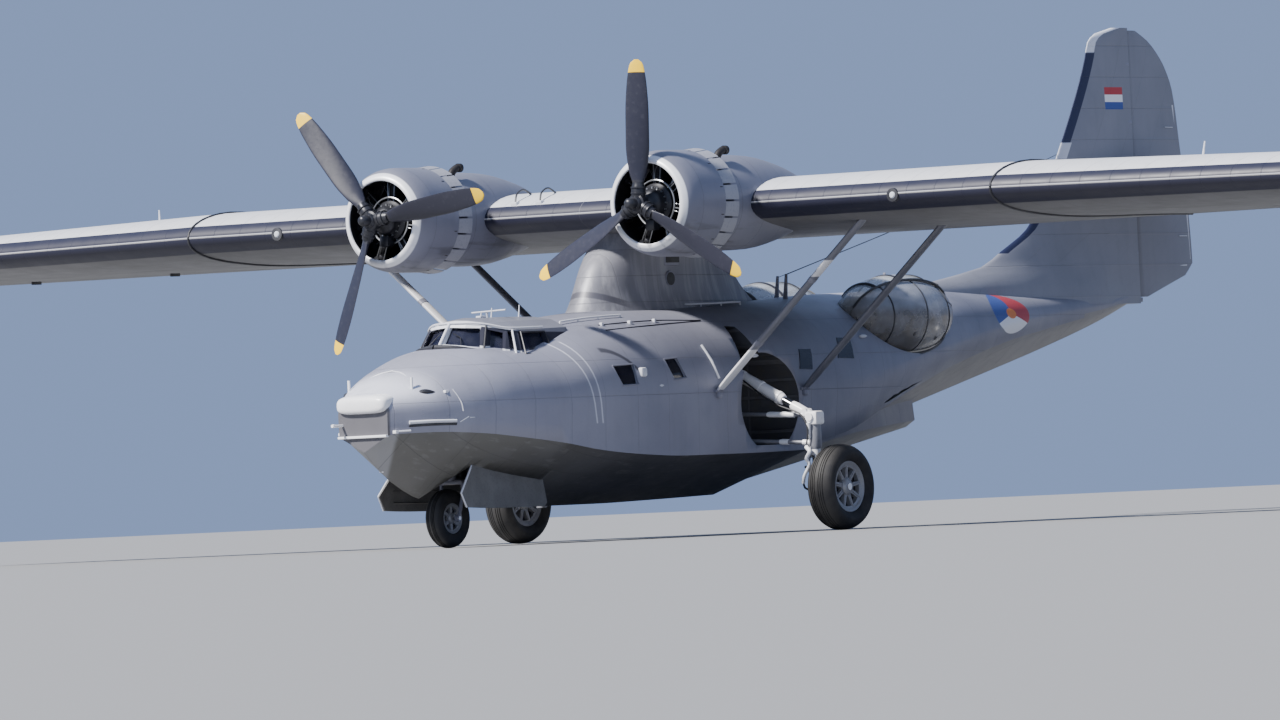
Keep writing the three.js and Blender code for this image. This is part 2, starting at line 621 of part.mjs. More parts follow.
// The raised float closes the wing tip with its keel outboard
const FLOAT_ROWS = [
  // y, reach outboard, halfZ
  [5860, 60, 30],
  [6050, 330, 130],
  [6500, 560, 220],
  [7200, 690, 245],
  [8100, 640, 210],
  [8900, 420, 120],
  [9350, 130, 35],
];
const floatRing = ([y, reach, halfZ]) => {
  const z = 4140 - 0.06 * (y - 5900);
  return [
    [0, halfZ], [0.35, halfZ * 0.95], [0.75, halfZ * 0.55], [1, 0],
    [0.75, -halfZ * 0.55], [0.35, -halfZ * 0.95], [0, -halfZ],
  ].map(([part, up]) => [FLOAT_JOINT_X + SEAT_GAP + part * (reach + 10), y, z + up]);
};
const tipFloat = skin(FLOAT_ROWS.map(floatRing));
for (const [name, side] of SIDES) {
  add(`${name}_wing`, sided(outerWing, side), PAINT.grey);
  add(`${name}_aileron`, sided(aileron, side), PAINT.grey);
  add(`${name}_float`, sided(tipFloat, side), PAINT.grey);
}

// Pylon
function pylonRing([z, frontY, rearY, halfX]) {
  const length = rearY - frontY;
  const half = [
    [0, 0], [0.02, 0.38], [0.08, 0.7], [0.18, 0.92], [0.33, 1], [0.55, 0.86], [0.78, 0.5], [1, 0.04],
  ].map(([part, width]) => [halfX * width, frontY + length * part, z]);
  return [...half, ...half.slice(1).reverse().map(([x, y, h]) => [-x, y, h])];
}
add("pylon", skin(PYLON_ROWS.map(pylonRing)).subtract(hullSeat).subtract(wingSeat), PAINT.grey);

// Lift struts from the hull side to the underside of the wing
const STRUT_ROWS = [
  // name, y
  ["front", 6000],
  ["rear", 7900],
];
const STRUT = { footX: 1480, footZ: 1760, topX: 4100, topZ: 4060, halfChord: 75, halfThick: 27 };
function strutForm(y) {
  const ringAt = (x, z) => {
    const ring = [];
    for (let i = 0; i < 12; i++) {
      const angle = (2 * Math.PI * i) / 12;
      ring.push([x, y + STRUT.halfChord * Math.cos(angle), z + STRUT.halfThick * 1.4 * Math.sin(angle)]);
    }
    return ring;
  };
  const foot = box([1400, y - 60, 1790], [1640, y + 60, 1890]);
  return skin([ringAt(STRUT.footX, STRUT.footZ), ringAt(STRUT.topX, STRUT.topZ)])
    .add(foot).subtract(hullSeat).subtract(wingSeat);
}
for (const [row, y] of STRUT_ROWS) {
  for (const [name, side] of SIDES) add(`${name}_${row}_strut`, sided(strutForm(y), side), PAINT.metal);
}

// Engines, cowls, nacelles and propellers
const CYLINDER = { count: 7, radius: 80, top: 600, frontY: 4180, rearY: 4400 };
const COWL_INNER = 640;
const SHAFT = 40; // radius of the propeller shaft
function engineForm() {
  const pieces = [
    turnedY([[0, PROP_Y + 60], [SHAFT, PROP_Y + 60], [SHAFT, 3800], [60, 3800], [60, 3870], [150, 3900],
      [190, 4000], [270, 4060], [270, 4520], [230, 4600], [230, NACELLE_FRONT_Y - SEAT_GAP],
      [0, NACELLE_FRONT_Y - SEAT_GAP]], 0, 0, 14),
    turnedY([[575, 4225], [COWL_INNER - SEAT_GAP, 4225], [COWL_INNER - SEAT_GAP, 4355], [575, 4355],
      [575, 4225]], 0, 0, 28),
  ];
  for (const [rowY, offset] of [[CYLINDER.frontY, 0], [CYLINDER.rearY, 0.5]]) {
    for (let i = 0; i < CYLINDER.count; i++) {
      const angle = (2 * Math.PI * (i + offset)) / CYLINDER.count;
      const [across, up] = [Math.sin(angle), Math.cos(angle)];
      pieces.push(rod([200 * across, rowY, 200 * up],
        [CYLINDER.top * across, rowY, CYLINDER.top * up], CYLINDER.radius, 7, CYLINDER.radius * 0.85));
    }
  }
  return union(pieces);
}
const engine = engineForm();
const cowl = turnedY([
  [COWL_INNER, 4060], [530, 3920], [512, 3875], [530, COWL_FRONT_Y],
  [585, 3885], [645, 3975], [COWL_RADIUS, 4150], [COWL_RADIUS, 4640],
  [712, COWL_REAR_Y], [690, COWL_REAR_Y], [COWL_INNER, 4660], [COWL_INNER, 4060],
], 0, 0, 28);
const nacelle = turnedY([
  [0, NACELLE_FRONT_Y], [575, NACELLE_FRONT_Y], [600, 5200], [615, 5500], [600, 5900], [520, 6400],
  [380, 6900], [200, 7250], [0, 7400],
], 0, 0, 28);

const BLADE_ROWS = [
  // radius, chord, thickness, pitch in degrees
  [90, 110, 110, 50],
  [230, 130, 105, 48],
  [420, 235, 75, 42],
  [750, 300, 55, 34],
  [1150, 300, 38, 27],
  [1500, 265, 26, 22],
  [1720, 200, 18, 20],
  [PROP_RADIUS, 90, 12, 19],
];
function bladeForm() {
  return skin(BLADE_ROWS.map(([radius, chord, thick, pitch]) => {
    const turn = THREE.MathUtils.degToRad(pitch);
    const ring = [];
    for (let i = 0; i < 8; i++) {
      const angle = (2 * Math.PI * i) / 8;
      const along = (chord / 2) * Math.cos(angle);
      const off = (thick / 2) * Math.sin(angle);
      ring.push([along * Math.cos(turn) - off * Math.sin(turn),
        along * Math.sin(turn) + off * Math.cos(turn), radius]);
    }
    return ring;
  }));
}
function propellerForm() {
  const hub = turnedY([[0, -260], [60, -250], [88, -190], [92, -90], [130, -70], [140, 0], [130, 70],
    [70, 90], [70, 108], [SHAFT + 1.5, 108], [SHAFT + 1.5, 50], [0, 50]], 0, 0, 16);
  const blade = bladeForm();
  return union([hub, blade, blade.rotate([0, 120, 0]), blade.rotate([0, 240, 0])]);
}
const propeller = propellerForm();
for (const [name, side] of SIDES) {
  const at = [side * ENGINE_X, 0, THRUST_Z];
  add(`${name}_engine`, engine.translate(at), PAINT.metal);
  add(`${name}_cowl`, cowl.translate(at), PAINT.grey);
  add(`${name}_nacelle`, nacelle.translate(at).subtract(wingSeat), PAINT.grey);
  add(`${name}_propeller`, propeller.rotate([0, -PROP_TURN[name], 0])
    .translate([side * ENGINE_X, PROP_Y, THRUST_Z]), PAINT.black);
}

// Tail

// Half thickness of a fixed tail surface from its cut rear face forward to its leading edge
const TAIL_SHAPE = [[0, 1], [0.25, 1.2], [0.5, 1.22], [0.72, 1], [0.88, 0.62], [0.97, 0.28], [1, 0]];

function tailSection(rearY, frontY, half, place, flare = 1) {
  const points = TAIL_SHAPE.map(([part, wide]) => {
    const swell = 1 + (flare - 1) * Math.min(1, part / 0.25); // none at the cut rear face
    return [rearY + (frontY - rearY) * part, half * wide * swell];
  });
  return [...points, ...points.slice(0, -1).reverse().map(([y, t]) => [y, -t])]
    .map(([y, t]) => place(y, t));
}
function rudderHalf(z) {
  const part = (z - RUDDER_HALF.footZ) / (RUDDER_HALF.topZ - RUDDER_HALF.footZ);
  return THREE.MathUtils.lerp(RUDDER_HALF.foot, RUDDER_HALF.top, part);
}
const finForm = (grow) => skin(FIN_ROWS.map(([z, frontY, flare]) => tailSection(
  RUDDER_HINGE_Y - rudderHalf(z) - RUN_GAP, frontY - grow, rudderHalf(z) + grow, (y, t) => [t, y, z], flare,
)));
// The fin is hollow and open at its foot, the tailplane at its root
const finRoom = skin(FIN_ROWS.slice(0, -2).map(([z, frontY, flare]) => tailSection(
  RUDDER_HINGE_Y - rudderHalf(z) - RUN_GAP - 2 * FIN_SKIN, frontY + 120, rudderHalf(z) - FIN_SKIN,
  (y, t) => [t, y, z], flare,
)));
// The rudder turns on a heel arm under its foot
const HEEL = { z: RUDDER_HALF.footZ - RUN_GAP, halfX: 40, depth: 60, pin: 20 };
const heelArm = box(
  [-HEEL.halfX, RUDDER_HINGE_Y - 150, HEEL.z - HEEL.depth],
  [HEEL.halfX, RUDDER_HINGE_Y + HEEL.halfX, HEEL.z],
);
add("fin", finForm(0).subtract(finRoom).add(heelArm).subtract(hullSeat), PAINT.grey);
const ROOM_DROP = 40; // the room opens at the foot and ends under the rudder's top
const rudderRoom = skin(RUDDER_ROWS.slice(0, -1).map(([z, rearY]) => (
  flapRoom(rudderHalf(z), rearY - RUDDER_HINGE_Y).map(([a, t]) => [t, RUDDER_HINGE_Y + a, z - ROOM_DROP])
)));
const { flatEndY, rearY: heelRearY, rearZ: heelRearZ } = RUDDER_HEEL;
const underRudder = prism([
  [17500, 0], [TAIL_TIP_Y + 100, 0], [TAIL_TIP_Y + 100, heelRearZ], [heelRearY, heelRearZ],
  [flatEndY, RUDDER_HALF.footZ], [17500, RUDDER_HALF.footZ],
], "x", -500, 500);
add("rudder", skin(RUDDER_ROWS.map(([z, rearY]) => (
  flapProfile(rudderHalf(z), rearY - RUDDER_HINGE_Y).map(([a, t]) => [t, RUDDER_HINGE_Y + a, z])
))).subtract(underRudder).subtract(rudderRoom).add(rod(
  [0, RUDDER_HINGE_Y, HEEL.z + PIN_GAP], [0, RUDDER_HINGE_Y, RUDDER_HALF.footZ + 30], HEEL.pin, 12,
)), PAINT.grey);

const finSeat = finForm(SEAT_GAP);
const tailplane = skin(TAILPLANE_ROWS.map(([x, frontY, , halfZ]) => tailSection(
  ELEVATOR_HINGE_Y - halfZ - RUN_GAP, frontY, halfZ, (y, t) => [x, y, TAILPLANE_Z + t],
)));
const tailplaneRoom = skin(TAILPLANE_ROWS.slice(0, 3).map(([x, frontY, , halfZ]) => tailSection(
  ELEVATOR_HINGE_Y - halfZ - RUN_GAP - 2 * FIN_SKIN, frontY + 90, halfZ - FIN_SKIN,
  (y, t) => [x, y, TAILPLANE_Z + t],
)));
const ELEVATOR_ROOT_X = 230;
const elevatorCut = prism([[0, 17000], [ELEVATOR_ROOT_X, 17000], [ELEVATOR_ROOT_X, 18050],
  [640, 19500], [0, 19500]], "z", 0, FAR);
// Each elevator turns on a pin at its root, in a bracket behind the tailplane
const elevatorRoom = skin(TAILPLANE_ROWS.slice(0, 3).map(([x, , rearY, halfZ]) => (
  flapRoom(halfZ, rearY - ELEVATOR_HINGE_Y).map(([a, t]) => [x, ELEVATOR_HINGE_Y + a, TAILPLANE_Z + t])
)));
const ELEVATOR_PIN = 18;
const elevatorBracket = box(
  [ELEVATOR_ROOT_X - RUN_GAP - 30, ELEVATOR_HINGE_Y - 150, TAILPLANE_Z - 40],
  [ELEVATOR_ROOT_X - RUN_GAP, ELEVATOR_HINGE_Y + 30, TAILPLANE_Z + 40],
);
const elevator = skin(TAILPLANE_ROWS.map(([x, , rearY, halfZ]) => (
  flapProfile(halfZ, rearY - ELEVATOR_HINGE_Y).map(([a, t]) => [x, ELEVATOR_HINGE_Y + a, TAILPLANE_Z + t])
))).subtract(elevatorCut).subtract(elevatorRoom).add(rod(
  [ELEVATOR_ROOT_X - RUN_GAP + PIN_GAP, ELEVATOR_HINGE_Y, TAILPLANE_Z],
  [ELEVATOR_ROOT_X + 300, ELEVATOR_HINGE_Y, TAILPLANE_Z], ELEVATOR_PIN, 12,
));
for (const [name, side] of SIDES) {
  const hollow = tailplane.subtract(tailplaneRoom).add(elevatorBracket);
  add(`${name}_tailplane`, sided(hollow, side).subtract(finSeat), PAINT.grey);
  add(`${name}_elevator`, sided(elevator, side), PAINT.grey);
}

// Wheels: a tyre on a pierced disc wheel, both turned about the axle
const TYRE_SIDES = 28;
function tyreForm({ radius, halfWidth, rim, y }) {
  const depth = radius - rim;
  const half = [
    // part of the depth, part of the half width
    [0, 0.62], [0.2, 0.88], [0.45, 1], [0.7, 0.9], [0.9, 0.6], [1, 0.24],
  ].map(([deep, wide]) => [rim + depth * deep, halfWidth * wide]);
  const profile = [...half, ...half.slice().reverse().map(([r, x]) => [r, -x]), half[0]];
  const flat = Math.cos(Math.PI / TYRE_SIDES); // the tyre stands on one of its flats
  return turnedX(profile.map(([r, x]) => [r / flat, x]), 0, 0, TYRE_SIDES)
    .rotate([180 / TYRE_SIDES, 0, 0]).translate([0, y, radius]);
}
function wheelForm({ radius, halfWidth, rim, axle, y }, holes) {
  const outer = rim - SEAT_GAP;
  const edge = halfWidth * 0.66;
  const disc = halfWidth * 0.2;
  const bore = axle + 0.9;
  const profile = [
    [bore, -edge * 0.8], [rim * 0.28, -edge * 0.8], [rim * 0.28, -disc], [rim * 0.86, -disc],
    [rim * 0.9, -edge], [outer, -edge], [outer, edge], [rim * 0.9, edge], [rim * 0.86, disc],
    [rim * 0.28, disc], [rim * 0.25, edge * 0.75], [bore, edge * 0.75], [bore, -edge * 0.8],
  ];
  let wheel = turnedX(profile, y, radius, 20);
  for (let i = 0; i < holes; i++) {
    const angle = (2 * Math.PI * i) / holes;
    const [dy, dz] = [rim * 0.57 * Math.sin(angle), rim * 0.57 * Math.cos(angle)];
    wheel = wheel.subtract(rod([-halfWidth, y + dy, radius + dz], [halfWidth, y + dy, radius + dz],
      rim * 0.15, 6));
  }
  return wheel;
}

// Main legs: a sloping oleo, two links across to the hull, and the upright that holds the axle
const wellWall = WELL.depthX + SEAT_GAP;
const LEG = { topZ: 1500, footZ: MAIN.radius, linkY: 7000, highZ: 1560, lowZ: 1230 };
function mainLegForm() {
  return union([
    rod([wellWall - 60, MAIN.y, 2150], [MAIN.legX, MAIN.y, LEG.topZ - 30], 58, 12),
    rod([wellWall - 60, MAIN.y, 2150], [1180, MAIN.y, 2020], 80, 12),
    rod([wellWall - 20, LEG.linkY, LEG.highZ], [MAIN.legX, MAIN.y - 40, LEG.highZ - 60], 30, 8),
    rod([wellWall - 20, LEG.linkY - 30, LEG.lowZ], [MAIN.legX, MAIN.y - 40, 1130], 30, 8),
    rod([MAIN.legX, MAIN.y, LEG.topZ + 40], [MAIN.legX, MAIN.y, 1060], 78, 12),
    rod([MAIN.legX, MAIN.y, 1100], [MAIN.legX, MAIN.y, LEG.footZ - 60], 55, 12),
    rod([MAIN.legX - 70, MAIN.y, MAIN.radius], [MAIN.x + 150, MAIN.y, MAIN.radius], MAIN.axle, 12),
    rod([MAIN.legX - 75, MAIN.y, MAIN.radius], [MAIN.legX + 60, MAIN.y, MAIN.radius], 85, 12),
    rod([MAIN.legX, MAIN.y - 150, 1090], [MAIN.legX, MAIN.y - 190, 800], 16, 6),
    rod([MAIN.legX, MAIN.y - 190, 810], [MAIN.legX, MAIN.y - 40, 610], 16, 6),
    rod([MAIN.legX, MAIN.y - 155, 1085], [MAIN.legX, MAIN.y, 1150], 16, 6),
  ]).subtract(box([-FAR, 0, 0], [wellWall, FAR, FAR]));
}
for (const [name, side] of SIDES) {
  const mainWheel = wheelForm(MAIN, 8).translate([MAIN.x, 0, 0]);
  add(`${name}_main_leg`, sided(mainLegForm(), side), PAINT.gear);
  add(`${name}_main_wheel`, sided(mainWheel, side), PAINT.metal);
  add(`${name}_main_tyre`, tyreForm(MAIN).translate([side * MAIN.x, 0, 0]), PAINT.rubber);
}

// Nose gear: a fixed post, a steered fork and the wheel
const STEER = { y: NOSE.legY, splitZ: 960, spindle: 28, spindleTopZ: 1080 };
add("nose_post", union([
  rod([0, STEER.y, STEER.splitZ + RUN_GAP], [0, STEER.y, NOSE_WELL.topZ - SEAT_GAP], 62, 20),
  rod([0, STEER.y + 40, 1120], [0, NOSE_WELL.rearY - SEAT_GAP - 30, 1400], 30, 12),
  box([-90, NOSE_WELL.rearY - 70, 1340], [90, NOSE_WELL.rearY - SEAT_GAP, 1460]),
]).subtract(rod([0, STEER.y, 900], [0, STEER.y, STEER.spindleTopZ + 10], STEER.spindle + 0.9, 20)), PAINT.gear);
const FORK_X = NOSE.halfWidth + 45;
add("nose_fork", union([
  rod([0, STEER.y, 830], [0, STEER.y, STEER.splitZ], 55, 20),
  rod([0, STEER.y, 900], [0, STEER.y, STEER.spindleTopZ], STEER.spindle, 20),
  box([-FORK_X - 22, STEER.y - 55, 800], [FORK_X + 22, STEER.y + 55, 860]),
  ...[1, -1].map((side) => rod(
    [side * FORK_X, STEER.y, 830], [side * FORK_X, NOSE.y, NOSE.radius - 20], 24, 12,
  )),
  rod([-FORK_X - 30, NOSE.y, NOSE.radius], [FORK_X + 30, NOSE.y, NOSE.radius], NOSE.axle, 20),
]), PAINT.gear);
add("nose_wheel", wheelForm(NOSE, 6), PAINT.metal);
add("nose_tyre", tyreForm(NOSE), PAINT.rubber);

// Nose-wheel doors hang open from the side edges of the well, a little splayed
const DOOR = { thick: 22, splay: 60 };
for (const [name, side] of SIDES) {
  const x = NOSE_WELL.halfX;
  const door = skin([
    // y at the hinge, y at the lower edge, topZ, lowZ
    [1960, 1640, 1050, 690],
    [2010, 1740, 1040, 505],
    [2700, 2700, 930, 480],
    [3380, 3380, 850, 480],
    [3410, 3440, 845, 520],
  ].map(([hingeY, lowY, topZ, lowZ]) => [
    [x, hingeY, topZ], [x + DOOR.thick, hingeY, topZ],
    [x + DOOR.thick + DOOR.splay, lowY, lowZ], [x + DOOR.splay, lowY, lowZ],
  ])).subtract(hullSeat);
  add(`${name}_nose_door`, sided(door, side), PAINT.bottom);
}

// The origin is on the ground, under the middle of the aircraft
aircraft.position.set(0, -(BOW_TIP_Y + TAIL_TIP_Y) / 2, 0);
aircraft.updateMatrixWorld(true);
export default aircraft;
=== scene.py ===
"""Looks of a twin-engined parasol-wing flying boat on its wheels.

Metres, +Z up, bow towards -Y, port towards +X.
"""
import json
from math import ceil, copysign, cos, hypot, pi, radians, sin, sqrt

import bmesh
import bpy
from mathutils import Matrix, Vector


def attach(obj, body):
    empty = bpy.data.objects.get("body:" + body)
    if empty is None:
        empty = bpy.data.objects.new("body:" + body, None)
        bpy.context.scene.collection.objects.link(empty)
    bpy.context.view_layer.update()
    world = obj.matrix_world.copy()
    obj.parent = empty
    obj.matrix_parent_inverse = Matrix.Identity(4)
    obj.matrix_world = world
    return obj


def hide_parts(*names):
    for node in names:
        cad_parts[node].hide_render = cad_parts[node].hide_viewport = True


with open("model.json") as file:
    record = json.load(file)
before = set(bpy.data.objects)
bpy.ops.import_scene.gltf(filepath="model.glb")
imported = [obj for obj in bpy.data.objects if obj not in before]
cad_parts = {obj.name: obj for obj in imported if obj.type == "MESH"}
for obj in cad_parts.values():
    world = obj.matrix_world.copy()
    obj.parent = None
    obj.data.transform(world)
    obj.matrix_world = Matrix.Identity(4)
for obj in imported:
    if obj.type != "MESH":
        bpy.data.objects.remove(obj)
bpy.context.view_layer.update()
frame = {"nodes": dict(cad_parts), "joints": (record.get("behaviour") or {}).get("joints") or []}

# Driving sizes. A station is the distance aft that the sections are measured by
PROP_STATION = 3.687
ENGINE = next(j["pos_m"] for j in frame["joints"] if j["name"] == "port_propeller_spin")
ENGINE_X, THRUST_Z = ENGINE[0], ENGINE[2]
OFFSET = ENGINE[1] - PROP_STATION
SIDES = (("port", 1), ("starboard", -1))
X, Y, Z = (Vector(way) for way in ((1, 0, 0), (0, 1, 0), (0, 0, 1)))
MAIN = {"x": 2.608, "y": 7.161, "radius": .555, "half": .2, "rim": .325, "leg": 2.235}
NOSE = {"x": 0, "y": 2.203, "radius": .375, "half": .12, "rim": .19, "leg": 2.33}
BLISTER = {"x": 1.03, "y": 10.8, "z": 2.78, "radius": .55, "half": 1.08}
WELL = {"y": 7.14, "z": 1.7, "radius": .64, "inner": .96, "floor": 1.14}
NOSE_WELL = {"half": .6, "point": 1.62, "front": 1.95, "rear": 3.42, "top": 1.55}
WING_JOINT_X, TIP_X, WING_END_X = 6.452, 15.85, 15.15
AILERON = {"inner": 8.35, "outer": 14.85, "hinge": .79}
RUDDER_Y, ELEVATOR_Y, TAILPLANE_Z = 18.1, 18.05, 4.7
RUN_GAP = .008
# Points nearer than WELD become one, and TINY is nothing
WELD, TINY = .0001, 1e-6
HULL_ROWS = [
    # station, keel z, chine x, chine z, side x, side z, deck z
    (.54, 1.25, .385, 1.45, .39, 1.72, 1.95), (.65, 1.15, .445, 1.465, .47, 1.72, 2.01),
    (1.05, .87, .72, 1.47, .745, 1.72, 2.2), (1.7, .62, 1.03, 1.43, 1.055, 1.73, 2.425),
    (2.2, .56, 1.18, 1.37, 1.21, 1.735, 2.545), (3.1, .505, 1.35, 1.25, 1.38, 1.745, 2.59),
    (3.5, .495, 1.4, 1.18, 1.43, 1.755, 2.7), (3.9, .485, 1.44, 1.13, 1.47, 1.765, 2.81),
    (4.5, .48, 1.49, 1.08, 1.52, 1.78, 2.9), (5.3, .48, 1.525, 1.045, 1.555, 1.8, 2.965),
    (6.6, .5, 1.54, 1.045, 1.565, 1.8, 3.005), (7.94, .53, 1.54, 1.06, 1.565, 1.81, 3.03),
]
AFT_ROWS = [
    (7.95, .78, 1.538, 1.12, 1.565, 1.81, 3.03), (9, .93, 1.44, 1.28, 1.53, 1.85, 3.055),
    (10.3, 1.13, 1.17, 1.6, 1.37, 2.01, 3.12), (12.4, 1.6, .79, 2.105, .96, 2.36, 3.15),
    (14.2, 1.995, .54, 2.44, .64, 2.64, 3.08), (15.7, 2.33, .38, 2.64, .43, 2.79, 3.06),
    (17.1, 2.68, .23, 2.83, .25, 2.9, 3.08), (17.9, 2.93, .11, 2.99, .115, 3.03, 3.13),
]
AFTERBODY_ROWS = [
    # station, keel z, chine x, chine z, top x, top z
    (7.95, .6, 1.538, 1.085, 1.5, 1.5), (10, .93, .93, 1.28, .86, 1.7), (12.385, 1.32, .15, 1.41, .12, 1.68),
]
PYLON_ROWS = [
    # z, front station, rear station, half width
    (2.7, 4.9, 9.5, .68), (3.02, 5.15, 9.04, .52), (3.25, 5.27, 8.76, .47), (3.55, 5.45, 8.49, .45),
    (3.8, 5.69, 8.33, .49), (4.12, 5.9, 8.3, .7),
]
FIN_ROWS = [
    # z, front station, flare of the root
    (2.9, 12.35, 2.4), (3.13, 12.5, 2.2), (3.26, 13.15, 1.95), (3.44, 14.32, 1.65), (3.65, 14.81, 1.4),
    (3.94, 15.43, 1.15), (4.3, 15.79, 1), (5, 16.29, 1), (6.29, 17.04, 1), (6.5, 17.12, 1),
    (6.62, 17.31, 1), (6.7, 17.7, 1),
]
RUDDER_ROWS = [
    # z, rear station
    (2.99, 19.2), (3.25, 19.23), (3.45, 19.46), (4.11, 19.42), (5.02, 19.28), (5.85, 19.14),
    (6.19, 18.96), (6.37, 18.79), (6.53, 18.58), (6.665, 18.29),
]
TAILPLANE_ROWS = [
    # x, front station, rear station, half depth at the hinge
    (.03, 16.15, 18.9, .095), (2.6, 16.42, 18.88, .078), (4.1, 16.62, 18.8, .056),
    (4.55, 16.9, 18.64, .04), (4.65, 17.25, 18.42, .024),
]


def at(x, station, z):
    """A point from its distance to port, its station and its height."""
    return Vector((x, station + OFFSET, z))


def located(point, side=1):
    """A point as it is, or one that is given as (x, station, z)."""
    return point if isinstance(point, Vector) else at(side * point[0], *point[1:])


# Rows and curves

def hermite(a, b, slope_a, slope_b, t):
    """A value between a and b, on a curve with a slope at each end."""
    rise = (2 * t ** 3 - 3 * t ** 2 + 1) * a + (3 * t ** 2 - 2 * t ** 3) * b
    return rise + (t ** 3 - 2 * t ** 2 + t) * slope_a + (t ** 3 - t ** 2) * slope_b


def slope(rows, i, k):
    """The slope of column k at row i, with no overshoot between rows."""
    if i == 0 or i == len(rows) - 1:
        a, b = (rows[0], rows[1]) if i == 0 else (rows[-2], rows[-1])
        return (b[k] - a[k]) / (b[0] - a[0])
    before, after = rows[i][0] - rows[i - 1][0], rows[i + 1][0] - rows[i][0]
    fall, rise = (rows[i][k] - rows[i - 1][k]) / before, (rows[i + 1][k] - rows[i][k]) / after
    if fall * rise <= 0:
        return 0
    return 3 * (before + after) / ((2 * after + before) / fall + (after + 2 * before) / rise)


def row_at(rows, place):
    """The row at a place along the first column, on smooth curves through the rows."""
    place = min(max(place, rows[0][0]), rows[-1][0])
    i = max(k for k in range(len(rows) - 1) if rows[k][0] <= place or k == 0)
    a, b = rows[i], rows[i + 1]
    h = b[0] - a[0]
    t = (place - a[0]) / h
    return [place] + [hermite(a[k], b[k], slope(rows, i, k) * h, slope(rows, i + 1, k) * h, t)
                      for k in range(1, len(a))]


def spread(rows, step):
    """The rows with smooth rows added between them, at most a step apart."""
    out = []
    for a, b in zip(rows, rows[1:]):
        count = max(1, ceil((b[0] - a[0]) / step))
        out += [row_at(rows, a[0] + (b[0] - a[0]) * j / count) for j in range(count)]
    return out + [list(rows[-1])]


def curve(points, steps=8):
    """A smooth curve through points."""
    rows = [(i, *p) for i, p in enumerate(points)]
    return [Vector(row_at(rows, i / steps)[1:]) for i in range((len(points) - 1) * steps + 1)]


# Solid shapes

def shapes(count):
    return [bmesh.new() for _ in range(count)]


def loft(bm, rings):
    """A closed skin over rings of points."""
    loops = []
    for ring in rings:
        verts = [bm.verts.new(p) for p in ring]
        loops.append([bm.edges.new((verts[i - 1], v)) for i, v in enumerate(verts)])
    for a, b in zip(loops, loops[1:]):
        bmesh.ops.bridge_loops(bm, edges=a + b)
    for loop in (loops[0], loops[-1]):
        bmesh.ops.edgeloop_fill(bm, edges=loop)


def prism(bm, outline, depth):
    """An outline of points, pushed along a vector."""
    outline = [located(p) for p in outline]
    loft(bm, [outline, [p + Vector(depth) for p in outline]])


def turned(bm, profile, centre, axis, steps=48, closed=False, side=None, start=0, sweep=2 * pi):
    """A profile of (radius, distance along the axis) turned about the axis."""
    centre, axis = located(centre), Vector(axis).normalized()
    side = Matrix.Rotation(start, 3, axis) @ (Vector(side) if side else axis.orthogonal().normalized())
    verts = [bm.verts.new(centre + side * r + axis * s) for r, s in profile]
    edges = [bm.edges.new(pair) for pair in zip(verts, verts[1:])]
    if closed:
        edges.append(bm.edges.new((verts[-1], verts[0])))
    whole = abs(abs(sweep) - 2 * pi) < TINY
    made = bmesh.ops.spin(bm, geom=verts + edges, cent=centre, axis=axis, dvec=(0, 0, 0), angle=sweep,
                          steps=steps, use_merge=whole, use_duplicate=False)
    if closed and not whole:
        ends = [e for e in made["geom_last"] if isinstance(e, bmesh.types.BMEdge)]
        bmesh.ops.edgeloop_fill(bm, edges=edges)
        bmesh.ops.edgeloop_fill(bm, edges=ends)


def pipe(bm, points, radius, sides=12, flat=1, across=None, smooth=0, side=1):
    """A rod or bent tube. radius is one number or one a point, flat thins one way, smooth rounds bends."""
    points = [located(p, side) for p in points]
    if smooth:
        points = curve(points, smooth)
    radii = radius if isinstance(radius, (list, tuple)) else [radius] * len(points)
    normal = Vector(across) if across else None
    rings = []
    for i, p in enumerate(points):
        ahead = (points[min(i + 1, len(points) - 1)] - points[max(i - 1, 0)]).normalized()
        normal = ahead.orthogonal() if normal is None else normal - ahead * normal.dot(ahead)
        normal.normalize()
        other = ahead.cross(normal) * flat
        rings.append([p + (normal * cos(2 * pi * k / sides) + other * sin(2 * pi * k / sides)) * radii[i]
                      for k in range(sides)])
    loft(bm, rings)


def block(bm, low, high, bevel=0):
    low, high = located(low), located(high)
    place = Matrix.Translation((low + high) / 2) @ Matrix.Diagonal((*(high - low), 1))
    made = bmesh.ops.create_cube(bm, size=1, matrix=place)
    if bevel:
        edges = list({e for v in made["verts"] for e in v.link_edges})
        bmesh.ops.bevel(bm, geom=edges, offset=bevel, segments=2, profile=.5, affect="EDGES", material=-1)


def clip(bm, point, normal):
    """Cuts away what lies on the normal's side of a plane, and closes the cut."""
    geom = bm.verts[:] + bm.edges[:] + bm.faces[:]
    cut = bmesh.ops.bisect_plane(bm, geom=geom, plane_co=located(point), plane_no=normal, clear_outer=True)
    edges = [e for e in cut["geom_cut"] if isinstance(e, bmesh.types.BMEdge)]
    if edges:
        bmesh.ops.edgeloop_fill(bm, edges=edges)


def weld(bm):
    """Makes one surface of a shape, with its faces outward."""
    bmesh.ops.remove_doubles(bm, verts=bm.verts, dist=WELD)
    bmesh.ops.recalc_face_normals(bm, faces=bm.faces)


def flip(bm, side):
    """Mirrors a port shape to starboard."""
    if side < 0:
        bmesh.ops.scale(bm, vec=(-1, 1, 1), verts=bm.verts)
        bmesh.ops.reverse_faces(bm, faces=bm.faces)


def mirrored(bm):
    """Adds the starboard half of a port shape."""
    weld(bm)
    geom = bm.verts[:] + bm.edges[:] + bm.faces[:]
    bmesh.ops.mirror(bm, geom=geom, matrix=Matrix(), merge_dist=-1, axis="X")


def around(turn, radius=1, ahead=0):
    """A point round an axis that runs along the hull."""
    return Vector((sin(turn) * radius, ahead, cos(turn) * radius))


